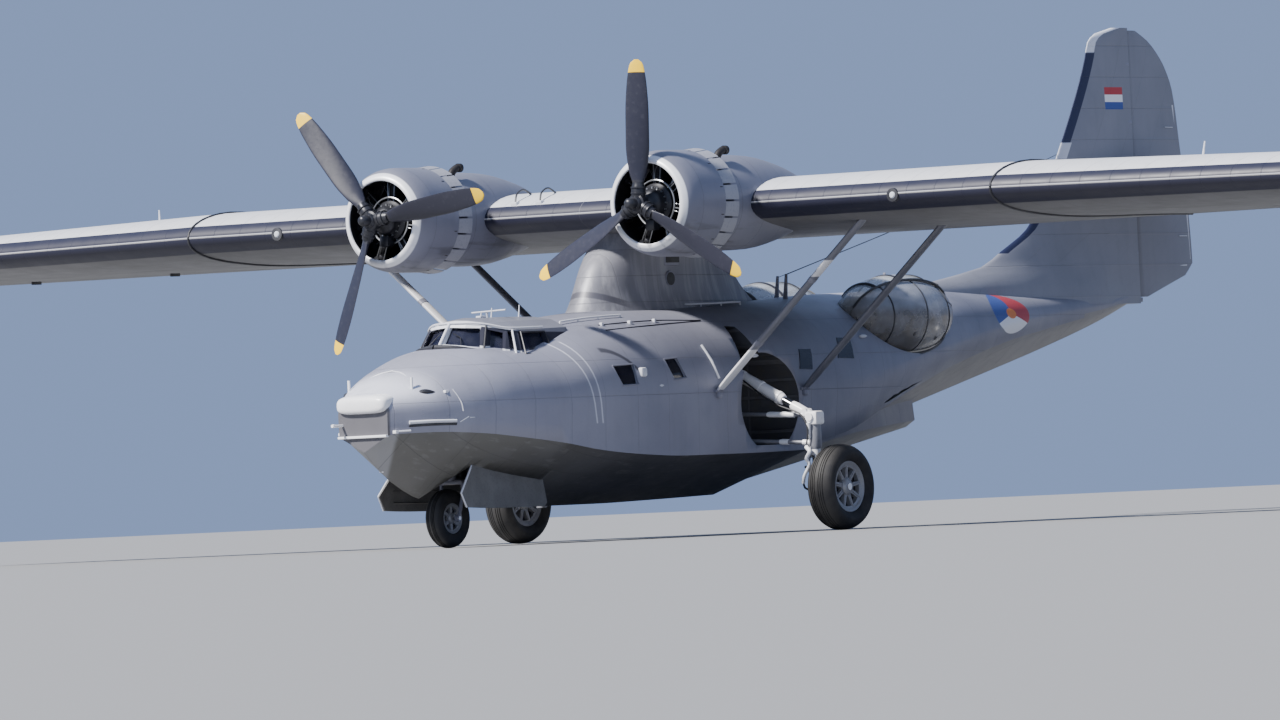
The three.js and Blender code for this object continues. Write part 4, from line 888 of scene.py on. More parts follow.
def make_bow():
    pad, lip, trim, dark = shapes(4)
    rings = []
    for station, half, low, high in spread(PAD_ROWS, .02):
        ring = []
        for k in range(40):
            x, z = cos(2 * pi * k / 40), sin(2 * pi * k / 40)
            ring.append(at(half * copysign(abs(x) ** .42, x), station,
                           (low + high) / 2 + (high - low) / 2 * copysign(abs(z) ** .62, z)))
        rings.append(ring)
    loft(pad, rings)
    obj = piece("bow_cushion", pad, WHITE_PAINT, replaces=("bow_pad",), sharp=50)
    # Lip below the pad, tube and ring on the starboard bow, and the towing eye
    block(lip, (-.385, .5, 1.43), (.385, .56, 1.462), .008)
    pipe(lip, [(-.33, .6, 1.6), (-.33, .335, 1.6)], .017)
    pipe(lip, [(-.33, .36, 1.6), (-.33, .33, 1.6)], [.024, .02])
    block(lip, (-.03, .86, .99), (.03, .95, 1.03), .01)
    for _, s in SIDES:
        # Spray strake, its rail and the small fittings of each side
        strake = curve([at(s * .545, .78, 1.6), at(s * .72, 1.05, 1.605), at(s * .87, 1.33, 1.6)], 5)
        pipe(trim, strake, .026, 10, 1.4, Z)
        # Painted shadow: a dark strip just under each strake
        pipe(dark, [p + Vector((0, 0, -.035)) for p in strake], .022, 8, 1.2, Z)
        pipe(lip, [(.885, 1.38, 1.585), (.945, 1.49, 1.65)], .018, side=s)
        rail = curve([at(s * .955, 1.5, 1.635), at(s * 1.08, 1.85, 1.645), at(s * 1.22, 2.34, 1.665)], 4)
        pipe(trim, rail, .013)
        for p in rail[::2]:
            pipe(dark, [p, p + Vector((-.06 * s, .02, -.01))], .01, 8)
        block(lip, (s * .42 - .03, .6, 1.47), (s * .42 + .05, .66, 1.51), .008)
        pipe(trim, [(.45, .64, 1.495), (.56, .79, 1.5)], .012, 8, side=s)
        # Upright tube with the dark scoop behind it
        pipe(lip, [(.5, .93, 1.965), (.5, .93, 2.17)], .017, side=s)
        pipe(lip, [(.49, .93, 1.95), (.5, .93, 1.99)], .028, side=s)
        pipe(dark, [(.53, .95, 1.965), (.62, 1.03, 1.975), (.71, 1.14, 1.965)],
             [.012 + .03 * sin(pi * k / 10) for k in range(11)], 10, smooth=5, side=s)
        block(lip, (s * .78 - .012, 1.22, 1.955), (s * .78 + .03, 1.3, 1.99), .006)
        pipe(trim, [(.83, 1.34, 2.0), (.885, 1.375, 1.9), (.925, 1.4, 1.8), (.93, 1.41, 1.72)],
             .008, 8, smooth=5, side=s)
        pipe(trim, [(-.02, 1.19, 2.268), (.15, 1.16, 2.24), (.3, 1.09, 2.18), (.4, 1.02, 2.12)],
             .009, 8, smooth=5, side=s)
    piece("bow_trim", trim, TRIM_PALE)
    piece("bow_dark_trim", dark, DARK)
    piece("bow_fittings", lip, WHITE_PAINT)


# Canopy and what shows through it

SILL = [(0, 2.17, 2.565), (.26, 2.235, 2.545), (.5, 2.4, 2.495), (.74, 2.575, 2.425), (.83, 2.7, 2.4)]
BROW = [(0, 2.42, 2.85), (.23, 2.47, 2.845), (.43, 2.6, 2.82), (.63, 2.81, 2.76), (.7, 3.0, 2.755),
        (.735, 3.4, 2.76)]
SIDE_PANE = [(.88, 2.84, 2.415), (.72, 2.96, 2.7), (.745, 3.42, 2.7), (.89, 3.42, 2.41), (.88, 2.84, 2.415)]


def make_canopy():
    trim, dark = shapes(2)
    for _, s in SIDES:
        pipe(trim, SILL, .019, 10, smooth=6, side=s)
        # Painted shadow: a dark strip just ahead of and below each sill
        pipe(dark, [(x, y - .06, z - .025) for x, y, z in SILL],
             [.045 - .0008 * k for k in range(25)], 10, 1.3, Z, 6, s)
        pipe(trim, BROW, .013, 10, smooth=6, side=s)
        # Painted shade: a dark rod on the post beside each front pane
        pipe(dark, [(.52, 2.44, 2.5), (.44, 2.61, 2.8)], .014, 8, side=s)
        pipe(trim, [(.83, 2.71, 2.4), (.66, 2.86, 2.73)], .014, 8, side=s)
        pipe(dark, SIDE_PANE, .012, 8, side=s)
        pipe(dark, [(.28, 2.28, 2.54), (.2, 2.38, 2.66), (.1, 2.36, 2.72)], .007, 6, side=s)
    pipe(trim, [(0, 2.18, 2.555), (0, 2.42, 2.84)], .02, 10)
    # Aerials on the roof
    for x, station, tall in ((.12, 3.15, .13), (-.2, 3.35, .1), (.22, 3.6, .16)):
        pipe(trim, [(x, station, 2.9), (x, station + .02, 2.9 + tall)], [.012, .007], 8)
    pipe(trim, [(-.3, 3.3, 2.985), (.3, 3.22, 3.0)], .01, 8)
    pipe(trim, [(-.05, 3.3, 2.9), (-.05, 3.28, 2.99)], .014, 8)
    block(trim, (.02, 2.95, 2.905), (.1, 3.07, 2.935), .01)
    piece("canopy_trim", trim, TRIM_PALE)
    piece("canopy_seals", dark, DARK)


def make_seats():
    for name, side in SIDES:
        pads, shell = shapes(2)
        block(shell, (.2, 2.82, 1.99), (.68, 3.28, 2.02), .01)
        block(shell, (.2, 3.285, 2.05), (.68, 3.31, 2.55), .01)
        for x in (.24, .64):
            for station in (2.9, 3.2):
                pipe(shell, [(x, station, 1.62), (x, station, 1.99)], .014)
            pipe(shell, [(x, 3.26, 2.1), (x, 3.24, 2.28), (x, 2.95, 2.3)], .013)
        block(pads, (.22, 2.83, 2.022), (.66, 3.24, 2.062), .018)
        block(pads, (.22, 3.24, 2.07), (.66, 3.284, 2.55), .018)
        flip(pads, side)
        bmesh.ops.subdivide_edges(pads, edges=pads.edges, cuts=2, use_grid_fill=True, smooth=.6)
        obj = piece(f"{name}_seat_pads", pads, LEATHER, replaces=(f"{name}_seat",), sharp=60)
        piece(f"{name}_seat_frame", shell, GREY_PAINT, slot="cabin_paint", side=side)
    dials, rims = shapes(2)
    for row, z in enumerate((2.18, 2.3, 2.41)):
        for k in range(-5 + row, 6 - row):
            centre = at(k * .115, 2.368, z)
            turned(dials, [(0, 0), (.04, 0), (.04, .004), (0, .006)], centre, Y, 20)
            rim = [(.038, 0), (.048, 0), (.048, .012), (.04, .012)]
            turned(rims, rim, centre, Y, 20, closed=True)
    piece("instrument_dials", dials, plain_paint("dial_faces", (.04, .042, .04), .2), slot="black_paint")
    piece("instrument_rims", rims, DARK)


# Nodes that keep their own mesh
KEPT = {"canopy_frame": CANOPY_PAINT, "canopy_glass": CANOPY_GLASS, "cabin_bulkhead": CABIN,
        "instrument_panel": BLACK, "control_yokes": DARK, "waist_seats": CABIN}


# Blisters

# Edges in degrees up from straight outboard: the fixed shell's opening and its back, and the hatch
OPENING, SHELL_BACK, HATCH_EDGES = (-69, 62), 150, (-66, 64)


def shell_point(outer, long, part, up, lift=0):
    """A point of a blister: part of the way along it, and up by degrees from straight outboard."""
    r, a = outer * max(0, 1 - part * part) ** .4 + lift, radians(up)
    return BLISTER_CENTRE + Vector((r * cos(a), long * part, r * sin(a)))


def shell(bm, outer, long, thick, low, high):
    outside = blister_profile(outer, long)
    inside = [(max(r - thick, 0), s * (1 - thick / long)) for r, s in reversed(outside)]
    turned(bm, outside + inside[1:-1], BLISTER_CENTRE, Y, 40, True, X, radians(-low),
           radians(low - high))


def arc(bm, outer, long, part, low, high, thick, wide=1.8):
    """A frame round a blister."""
    points = [shell_point(outer, long, part, low + (high - low) * k / 26) for k in range(27)]
    pipe(bm, points, thick, 8, wide, points[0] - BLISTER_CENTRE)


def meridian(bm, outer, long, up, start, end, thick):
    """A strip along a blister."""
    pipe(bm, [shell_point(outer, long, start + (end - start) * k / 24, up) for k in range(25)], thick, 8)


def make_blisters():
    radius, half = BLISTER["radius"], BLISTER["half"]
    inner, reach = radius - .04, half - .03
    foot, top = OPENING
    low, high = HATCH_EDGES
    for name, side in SIDES:
        glass, frames, hatch, hatch_frames = shapes(4)
        shell(glass, radius, half, .018, top, SHELL_BACK)
        shell(glass, radius, half, .018, -SHELL_BACK, foot)
        for part in (-.68, -.22, .28, .66):
            arc(frames, radius - .004, half, part, top, 140, .014, 2.4)
        meridian(frames, radius - .01, half, top, -.985, .985, .016)
        meridian(frames, radius - .006, half, foot, -.985, .985, .016)
        shell(hatch, inner, reach, .016, low, high)
        for part in (-.6, .02, .6):
            arc(hatch_frames, inner + .002, reach, part, low, high, .007)
        for up in HATCH_EDGES:
            meridian(hatch_frames, inner - .002, reach, up, -.97, .97, .0085)
        meridian(hatch_frames, inner - .001, reach, 22, .62, .94, .007)
        for along, up in ((.35, -40), (.62, -38), (-.2, -30)):
            spot = shell_point(inner, reach, along / reach, up, .002)
            out = (cos(radians(up)), 0, sin(radians(up)))
            turned(hatch_frames, [(0, 0), (.03, 0), (.026, .005), (0, .007)], spot, out, 16)
        body = f"{name}_hatch_body"
        piece(f"{name}_blister_shell", glass, BLISTER_GLASS, replaces=(f"{name}_blister",), side=side)
        piece(f"{name}_blister_frames", frames, DARK, side=side)
        piece(f"{name}_hatch_shell", hatch, HATCH_GLASS, body, replaces=(f"{name}_hatch",), side=side)
        piece(f"{name}_hatch_frames", hatch_frames, DARK, body, side=side)


# Wing

INCIDENCE, CHORD, TIP_CHORD, LE, TIP_LE, LE_Z = radians(4.5), 4.572, 3.05, 5.279, 6.03, 4.228
# Thickness of the trailing edge, depth and place of the camber, thickness of the section
EDGE, CAMBER, PEAK, THICK = .01, .02, .3, .15
# The sections meet this far short of their joint
SEAM = .0004


def aerofoil(part):
    """Upper and lower height at a part of the chord."""
    half = 5 * THICK * (1 - .35 * part ** 2) * (.2969 * sqrt(part) - .126 * part - .3516 * part ** 2
                                                + .2843 * part ** 3 - .1036 * part ** 4)
    if part < PEAK:
        camber = CAMBER / PEAK ** 2 * (2 * PEAK * part - part ** 2)
    else:
        camber = CAMBER / (1 - PEAK) ** 2 * (1 - 2 * PEAK + 2 * PEAK * part - part ** 2)
    return camber + half, camber - half


def cosine(steps):
    """Parts of a chord, close together at both ends."""
    return [(1 - cos(pi * k / steps)) / 2 for k in range(steps + 1)]


def wing_at(x):
    out = max(0, (abs(x) - WING_JOINT_X) / (TIP_X - WING_JOINT_X))
    station = LE + (TIP_LE - LE) * out
    return station, LE_Z - .15 * (station - LE), CHORD + (TIP_CHORD - CHORD) * out


def wing_point(x, along, above):
    station, z, _ = wing_at(x)
    return at(x, station + along * cos(INCIDENCE) + above * sin(INCIDENCE),
              z - along * sin(INCIDENCE) + above * cos(INCIDENCE))


def wing_ring(x):
    chord = wing_at(x)[2]
    parts = cosine(26)
    upper = [wing_point(x, t * chord, aerofoil(t)[0] * chord + EDGE / 2 * t) for t in parts]
    lower = [wing_point(x, t * chord, aerofoil(t)[1] * chord - EDGE / 2 * t) for t in parts[1:]]
    return upper[::-1] + lower


def wing_chart(co):
    """Distance behind the leading edge, negative on the underside, and distance out."""
    station, z, chord = wing_at(co.x)
    dy, dz = co.y - OFFSET - station, co.z - z
    along = max(0, dy * cos(INCIDENCE) - dz * sin(INCIDENCE))
    above = dy * sin(INCIDENCE) + dz * cos(INCIDENCE)
    upper, lower = aerofoil(min(1, along / chord))
    around = hypot(along, above) if along < .2 else along
    return (around if above > (upper + lower) / 2 * chord else -around), abs(co.x)


BOOT_END, JOINT_HALF = 15.5, .02
# Bands of colour, as (from u, to u, from v, to v, colour): the leading edge's boot and the wing's joint
WING_BANDS = ((-.27, -.012, 0, BOOT_END, NAVY), (.012, .2, 0, BOOT_END, NAVY),
              (-5, 5, WING_JOINT_X - JOINT_HALF, WING_JOINT_X + JOINT_HALF, (.03, .03, .04)))
WING_SKIN = surface_skin("wing_skin", (.64, .65, .68), (.115, .113, .115), WING_BANDS)


def aileron_hinge(x):
    chord = wing_at(x)[2]
    upper, lower = aerofoil(AILERON["hinge"])
    return AILERON["hinge"] * chord, (upper + lower) / 2 * chord, (upper - lower) / 2 * chord


def aileron_ring(x):
    along, above, radius = aileron_hinge(x)
    length = (1 - AILERON["hinge"]) * wing_at(x)[2]
    nose = [(radius * cos(pi / 2 + pi * k / 12), radius * sin(pi / 2 + pi * k / 12)) for k in range(13)]
    points = [(length, EDGE / 2), *nose, (length, -EDGE / 2)]
    return [wing_point(x, along + a, above - (above if a > radius else 0) + t) for a, t in points]


def bay_ring(x):
    along, _, radius = aileron_hinge(x)
    front = along - radius - RUN_GAP
    return [wing_point(x, front, .9), wing_point(x, front, -.9), wing_point(x, 6, -.9), wing_point(x, 6, .9)]


FLOAT_ROWS = [
    # station, reach outboard, half depth
    (5.86, .06, .03), (6.05, .33, .13), (6.5, .56, .22), (7.2, .69, .245), (8.1, .64, .21),
    (8.9, .42, .12), (9.35, .13, .035),
]


def float_ring(row):
    station, reach, half = row
    z = 4.14 - .06 * (station - 5.9)
    section = curve([(0, half, 0), (.35, half * .95, 0), (.75, half * .55, 0), (1, 0, 0)], 5)
    up = [(p.x, p.y) for p in section]
    ring = up + [(a, -b) for a, b in reversed(up[:-1])]
    return [at(WING_END_X + .0003 + a * (reach + .01), station, z + b) for a, b in ring]


def surface_point(x, part, upper=True, lift=0):
    chord = wing_at(x)[2]
    height = aerofoil(part)[0 if upper else 1] * chord
    return wing_point(x, part * chord, height + (lift if upper else -lift))


def make_wing():
    bm = bmesh.new()
    end = WING_JOINT_X - SEAM
    loft(bm, [wing_ring(x) for x in (-end, -4.3, -2.13, 0, 2.13, 4.3, end)])
    piece("centre_section", bm, WING_SKIN, replaces=("wing_centre",), chart=wing_chart)
    inner, outer = AILERON["inner"], AILERON["outer"]
    for name, side in SIDES:
        bm, bay, flap, tip = shapes(4)
        loft(bm, [wing_ring(x) for x in (WING_JOINT_X + SEAM, 8, 9.6, 11.2, 12.8, 14.2, WING_END_X - SEAM)])
        loft(bay, [bay_ring(inner), bay_ring(outer)])
        piece(f"{name}_outer_wing", joined(bm, bay), WING_SKIN, replaces=(f"{name}_wing",), chart=wing_chart,
              side=side)
        loft(flap, [aileron_ring(x) for x in (inner + RUN_GAP, 11.5, outer - RUN_GAP)])
        piece(f"{name}_aileron_skin", flap, WING_SKIN, f"{name}_aileron_body", "surface_fabric",
              (f"{name}_aileron",), chart=wing_chart, side=side)
        loft(tip, [float_ring(r) for r in spread(FLOAT_ROWS, .16)])
        piece(f"{name}_float_hull", tip, FLOAT_SKIN, replaces=(f"{name}_float",), sharp=40, side=side)
        make_wing_fittings(name, side)


def make_wing_fittings(name, side):
    trim, dark, lens = shapes(3)
    # Mast on the upper surface
    foot = surface_point(8.42, .4, True, -.01)
    pipe(trim, [foot, foot + Vector((.03, .03, .26))], [.02, .01], 10)
    turned(trim, [(0, 0), (.05, 0), (.05, .012), (0, .02)], foot, Z, 20)
    # Landing light in the leading edge
    eye = wing_point(4.953, -.012, -.02)
    turned(lens, [(0, -.014), (.03, -.01), (.046, .004), (.048, .03), (0, .03)], eye, Y, 28)
    turned(dark, [(.048, -.006), (.085, .0), (.09, .05), (.05, .05)], eye, Y, 28, closed=True)
    # Sealing strip round the joint of the outer wing, and grab handles between pylon and engine
    for upper in (True, False):
        pipe(dark, [surface_point(WING_JOINT_X, t, upper, .006) for t in cosine(24)], .016, 8)
    for x in (.75, 1.15):
        bow = [surface_point(x + out, part, True, lift) for out, part, lift in (
            (0, .035, -.005), (.03, .05, .09), (.06, .09, .1), (.1, .14, -.005))]
        pipe(dark, bow, .012, 8, smooth=6)
        block(trim, bow[0] + Vector((-.05, -.04, -.03)), bow[0] + Vector((.05, .04, .03)), .01)
    for x in (AILERON["inner"] + .9, 11.6, AILERON["outer"] - .9):
        along, above, radius = aileron_hinge(x)
        spot = wing_point(x, along - radius - .16, above - radius - .02)
        block(dark, spot + Vector((-.012, -.1, -.05)), spot + Vector((.012, .1, .04)), .006)
    piece(f"{name}_wing_trim", trim, TRIM_PALE, side=side)
    piece(f"{name}_wing_cables", dark, DARK, side=side)
    piece(f"{name}_landing_light", lens, LENS, side=side)


# Pylon and struts

PYLON_SHAPE = [
    # part of the length, part of the half width
    (0, 0), (.004, .17), (.02, .38), (.08, .7), (.18, .92), (.33, 1), (.55, .86), (.78, .5), (1, .03),
]


def make_pylon():
    bm, trim, dark = shapes(3)
    rings = []
    for z, front, rear, half in spread(PYLON_ROWS, .06):
        port = [(half * w, front + (rear - front) * t) for t, w in spread(PYLON_SHAPE, .045)]
        rings.append([at(x, s, z) for x, s in port + [(-x, s) for x, s in reversed(port) if x > TINY]])
    loft(bm, rings)
    piece("pylon_skin", bm, pylon_skin(), replaces=("pylon",), sharp=40)
    centre = at(0, 6.57, 3.35)
    for _, s in SIDES:
        block(trim, (s * .44 - .02, 6.47, 3.52), (s * .44 + .02, 6.79, 3.76), .012)
        block(dark, (s * .447 - .022, 6.5, 3.56), (s * .447 + .022, 6.79, 3.76), .01)
        turned(dark, [(0, -.48), (.085, -.48), (.085, .48), (0, .48)], centre, X, 28)
        rim = [(.085, -.474), (.1, -.474), (.1, .474), (.085, .474)]
        turned(trim, rim, centre, X, 28, closed=True)
    piece("pylon_trim", trim, GREY_PAINT)
    piece("pylon_windows", dark, BLACK)


STRUT_FOOT, STRUT_TOP, STRUT_THIN = (1.5, 1.79), (4.1, 4.06), .5
STRUT_ROWS = ((.02, .045), (.05, .062), (.1, .075), (.5, .075), (.93, .075), (.985, .055))


def make_struts():
    for row, station, paint in (("front", 6.0, strut_paint()), ("rear", 7.9, STRUT_GREY)):
        for name, side in SIDES:
            bm, ends = shapes(2)
            foot = at(STRUT_FOOT[0], station, STRUT_FOOT[1])
            way = at(STRUT_TOP[0], station, STRUT_TOP[1]) - foot
            pipe(bm, [foot + way * t for t, _ in STRUT_ROWS], [r for _, r in STRUT_ROWS], 28, STRUT_THIN, Y)
            for t in (0, .955):
                pipe(ends, [foot + way * t, foot + way * (t + .045)], .05, 16, .8, Y)
                pin, half = foot + way * (t + .03), Vector((0, .09, 0))
                pipe(ends, [pin - half, pin + half], .022, 12)
            block(ends, (1.5, station - .045, 1.765), (1.61, station + .045, 1.845), .02)
            if row == "front":
                for t in (.28, .62):
                    pipe(ends, [foot + way * t, foot + way * (t + .02)], .081, 20, .52, Y)
            strut = f"{name}_{row}_strut"
            piece(f"{strut}_tube", bm, paint, slot="strut_metal", replaces=(strut,), sharp=60, side=side)
            piece(f"{strut}_ends", ends, GREY_PAINT, slot="strut_metal", side=side)


# Engines, cowls, nacelles and propellers

CYLINDERS, FLAPS = 7, 20
COWL = [(.512, 3.875), (.519, 3.86), (.535, 3.855), (.56, 3.862), (.59, 3.887), (.622, 3.93),
        (.65, 3.99), (.668, 4.07), (.678, 4.16), (.68, 4.3), (.68, 4.64)]
COWL_INSIDE = [(.664, 4.64), (.655, 4.3), (.646, 4.12), (.62, 4.02), (.57, 3.94), (.53, 3.905)]
NACELLE = [(0, 4.96), (.3, 4.962), (.56, 4.965), (.578, 4.99), (.6, 5.2), (.613, 5.5), (.6, 5.9),
           (.52, 6.4), (.38, 6.9), (.2, 7.25), (0, 7.4)]
CASE_NOSE = [(0, 3.77), (.04, 3.77), (.045, 3.8), (.07, 3.81), (.09, 3.84), (.15, 3.88), (.185, 3.93),
             (.2, 4.0), (.255, 4.05)]
CASE_REAR = [(.26, 4.5), (.23, 4.6), (.23, 4.95), (0, 4.955)]
BAFFLE = [(.6, 4.6), (.655, 4.62), (.655, 4.64), (.24, 4.66), (.24, 4.62)]


def spread_profile(points):
    """A smooth profile through (radius, distance) points."""
    return [(p.x, p.y) for p in curve([(a, b, 0) for a, b in points], 3)]


def make_cowl(name, side):
    centre = at(side * ENGINE_X, 0, THRUST_Z)
    bm, flaps, dark, nacelle = shapes(4)
    turned(bm, spread_profile(COWL) + COWL_INSIDE, centre, Y, 96, closed=True)
    weld(bm)
    # Painted shade: the cowl's inner faces behind the lip take the dark paint, so its inside looks shaded
    for face in bm.faces:
        middle = face.calc_center_median()
        away = Vector((middle.x - centre.x, 0, middle.z - centre.z))
        face.material_index = int(away.dot(face.normal) < 0 and middle.y - OFFSET > 3.89)
    piece(f"{name}_cowl_ring", bm, [COWL_SKINS[name], DARK], replaces=(f"{name}_cowl",), sharp=40)
    for k in range(FLAPS):
        turned(flaps, [(.672, 4.646), (.7, 4.9), (.694, 4.9), (.664, 4.648)], centre, Y, 4, True,
               Z, 2 * pi * (k + .06) / FLAPS, 2 * pi * .88 / FLAPS)
    piece(f"{name}_cowl_flaps", flaps, FLAP_PAINT, sharp=40)
    # Exhaust stubs on top and below, and small bumps on the cowl
    for x, z in ((.3, .56), (-.36, .52)):
        stub = [centre + Vector((x * out, station, z + lift)) for out, station, lift in (
            (1, 4.97, -.06), (1.02, 5.03, .05), (1.05, 5.13, .1), (1.06, 5.19, .1))]
        pipe(dark, stub, .05, 16, smooth=5)
        pipe(dark, stub[-2:], .058, 16)
    studs(dark, centre, 12, .679, 4.56, .05, .006, .5)
    piece(f"{name}_exhausts", dark, IRON)
    turned(nacelle, spread_profile(NACELLE), centre, Y, 96)
    piece(f"{name}_nacelle_skin", nacelle, COWL_SKINS[name], replaces=(f"{name}_nacelle",), sharp=50)


def cylinder_profile():
    """A finned cylinder barrel and head, by (radius, distance out)."""
    profile = [(.055, .2), (.055, .27)]
    for k in range(13):
        d = .285 + k * .0155
        r = .074 if k < 6 else .088
        profile += [(.06, d), (r, d + .003), (r, d + .006), (.06, d + .009)]
    return profile + [(.07, .5), (.066, .545), (.03, .575), (0, .58)]


def make_engine(name, side):
    metal, case, small = shapes(3)
    centre = at(side * ENGINE_X, 0, THRUST_Z)
    turned(case, spread_profile(CASE_NOSE) + CASE_REAR, centre, Y, 48)
    studs(small, centre, 16, .205, 3.985, .03, .011)
    for row, offset in ((4.18, 0), (4.4, .5)):
        base = centre + Vector((0, row, 0))
        for k in range(CYLINDERS):
            turn = 2 * pi * (k + offset) / CYLINDERS
            out, across = around(turn), around(turn + pi / 2)

            def spot(up, wide, station):
                return base + out * up + across * wide + Vector((0, station, 0))

            turned(metal, cylinder_profile(), base, out, 20)
            for s in (-1, 1):
                pipe(small, [spot(.24, s * .045, -.085), spot(.565, s * .06, -.055)], .009, 8)
                box = [spot(.565, s * .055, -.07), spot(.565, s * .055, .06)]
                pipe(case, box, [.034, .03], 12, 1.1, out)
            pipe(small, [spot(.3, 0, -.13), spot(.42, 0, -.11), spot(.5, .03, -.05)], .007, 6, smooth=4)
    pipe(small, [centre + around(2 * pi * k / 48, .3, 4.05) for k in range(49)], .014, 8)
    block(case, centre + Vector((-.07, 3.9, -.34)), centre + Vector((.07, 4.04, -.2)), .015)
    turned(case, BAFFLE, centre, Y, 48, closed=True)
    piece(f"{name}_cylinders", metal, ENGINE_METAL, replaces=(f"{name}_engine",))
    piece(f"{name}_crankcase", case, CASE_METAL, sharp=40)
    piece(f"{name}_rods_and_leads", small, BARE)


BLADE_ROWS = [
    # radius, chord, thickness, pitch in degrees
    (.09, .11, .11, 50), (.23, .13, .105, 48), (.42, .235, .075, 42), (.75, .3, .055, 34),
    (1.15, .3, .038, 27), (1.5, .265, .026, 22), (1.72, .2, .018, 20), (1.79, .15, .014, 19),
    (1.829, .05, .01, 19),
]
BLADE_ROOT = [(0, .05), (.085, .06), (.092, .1), (.09, .2), (.075, .235), (.07, .27), (0, .27)]
DOME = [(0, -.26), (.03, -.258), (.052, -.245), (.066, -.22), (.072, -.18), (.074, -.12), (.095, -.1),
        (.1, -.07), (.125, -.06), (.13, 0), (.12, .06), (.07, .08), (.065, .1), (.04, .105), (.04, .06),
        (0, .06)]
# Degrees that each propeller stands away from one blade up
PROP_TURN = {"port": -2, "starboard": 38}


def make_propeller(name, side):
    centre = at(side * ENGINE_X, PROP_STATION, THRUST_Z)
    blades, hub = shapes(2)
    for k in range(3):
        place = Matrix.Translation(centre) @ Matrix.Rotation(radians(120 * k - PROP_TURN[name]), 4, "Y")
        rings = []
        for radius, chord, thick, pitch in spread(BLADE_ROWS, .07):
            twist = place @ Matrix.Rotation(radians(pitch), 4, "Z")
            section = [(cos(2 * pi * j / 24), sin(2 * pi * j / 24)) for j in range(24)]
            rings.append([twist @ Vector((chord / 2 * x, thick / 2 * y * (1 + .35 * x), radius))
                          for x, y in section])
        loft(blades, rings)
        out = place.to_3x3() @ Z
        turned(hub, BLADE_ROOT, centre, out, 28)
        for spot in (.12, .19):
            clamp = [(.09, spot), (.1, spot + .004), (.1, spot + .02), (.09, spot + .024)]
            turned(hub, clamp, centre, out, 28, closed=True)
    turned(hub, DOME, centre, Y, 40)
    studs(hub, centre, 8, .084, -.115, .02, .008)
    body = f"{name}_propeller_body"
    piece(f"{name}_blades", blades, blade_paint(f"{name}_blade_paint", side * ENGINE_X), body, "black_paint",
          (f"{name}_propeller",), sharp=60)
    piece(f"{name}_hub", hub, CASE_METAL, body, sharp=40)


# Tail

TAIL_SHAPE = [(0, 1), (.12, 1.12), (.25, 1.2), (.5, 1.22), (.72, 1), (.88, .62), (.97, .28), (1, 0)]
TAIL_NOSE = [(.985, .19), (.995, .1), (1, 0)]


def upright(z):
    return lambda station, out: at(out, station, z)


def level(x):
    return lambda station, up: at(x, station, TAILPLANE_Z + up)


def tail_ring(hinge, front, half, place, flare=1):
    """A fixed tail surface's section, from its cut rear face forward to its leading edge."""
    rear = hinge - half - RUN_GAP
    points = []
    for part, wide in spread(TAIL_SHAPE[:-1], .07) + TAIL_NOSE:
        swell = 1 + (flare - 1) * min(1, part / .25)
        points.append((rear + (front - rear) * part, half * wide * swell))
    return [place(s, t) for s, t in points + [(s, -t) for s, t in reversed(points[:-1])]]


def flap_nose(half):
    """The round nose of a hinged surface."""
    return [(half * cos(pi / 2 + pi * k / 12), half * sin(pi / 2 + pi * k / 12)) for k in range(13)]


def flap_ring(hinge, rear, half, place):
    points = [(rear - hinge, EDGE / 2), *flap_nose(half), (rear - hinge, -EDGE / 2)]
    return [place(hinge + a, t) for a, t in points]


def rudder_half(z):
    return .114 + (.04 - .114) * (z - 2.99) / (6.665 - 2.99)


def fin_chart(co):
    front = row_at(FIN_ROWS, co.z)[1]
    away = max(.0005, co.y - OFFSET - front)
    return away if co.x >= 0 else -away, co.z


def tail_chart(co):
    front = row_at([r[:2] for r in TAILPLANE_ROWS], abs(co.x))[1]
    away = max(.0005, co.y - OFFSET - front)
    return away if co.z >= TAILPLANE_Z else -away, abs(co.x)


def fin_marks(p):
    """Tricolour flag, three stripes, on each side, and a white gap in the boot."""
    flag = p.band(p.y, 17.38, 17.82, .008) * p.step(p.z, 5)
    stripes = p.mix(p.step(p.z, 5.676, .006), BLUE, WHITE)
    stripes = p.mix(p.step(p.z, 5.778, .006), stripes, RED)
    p.coat(flag * p.band(p.z, 5.575, 5.88, .006), stripes)
    away = abs(p.u)
    p.coat(p.below(away, .2) * p.band(p.z, 4.9, 5.12, .02), (.6, .61, .66))
    p.coat(p.below(away, .16, .02) * p.step(p.z, 6.36, .03), (.72, .73, .78))


BOOT_BLUE = (.016, .02, .06)


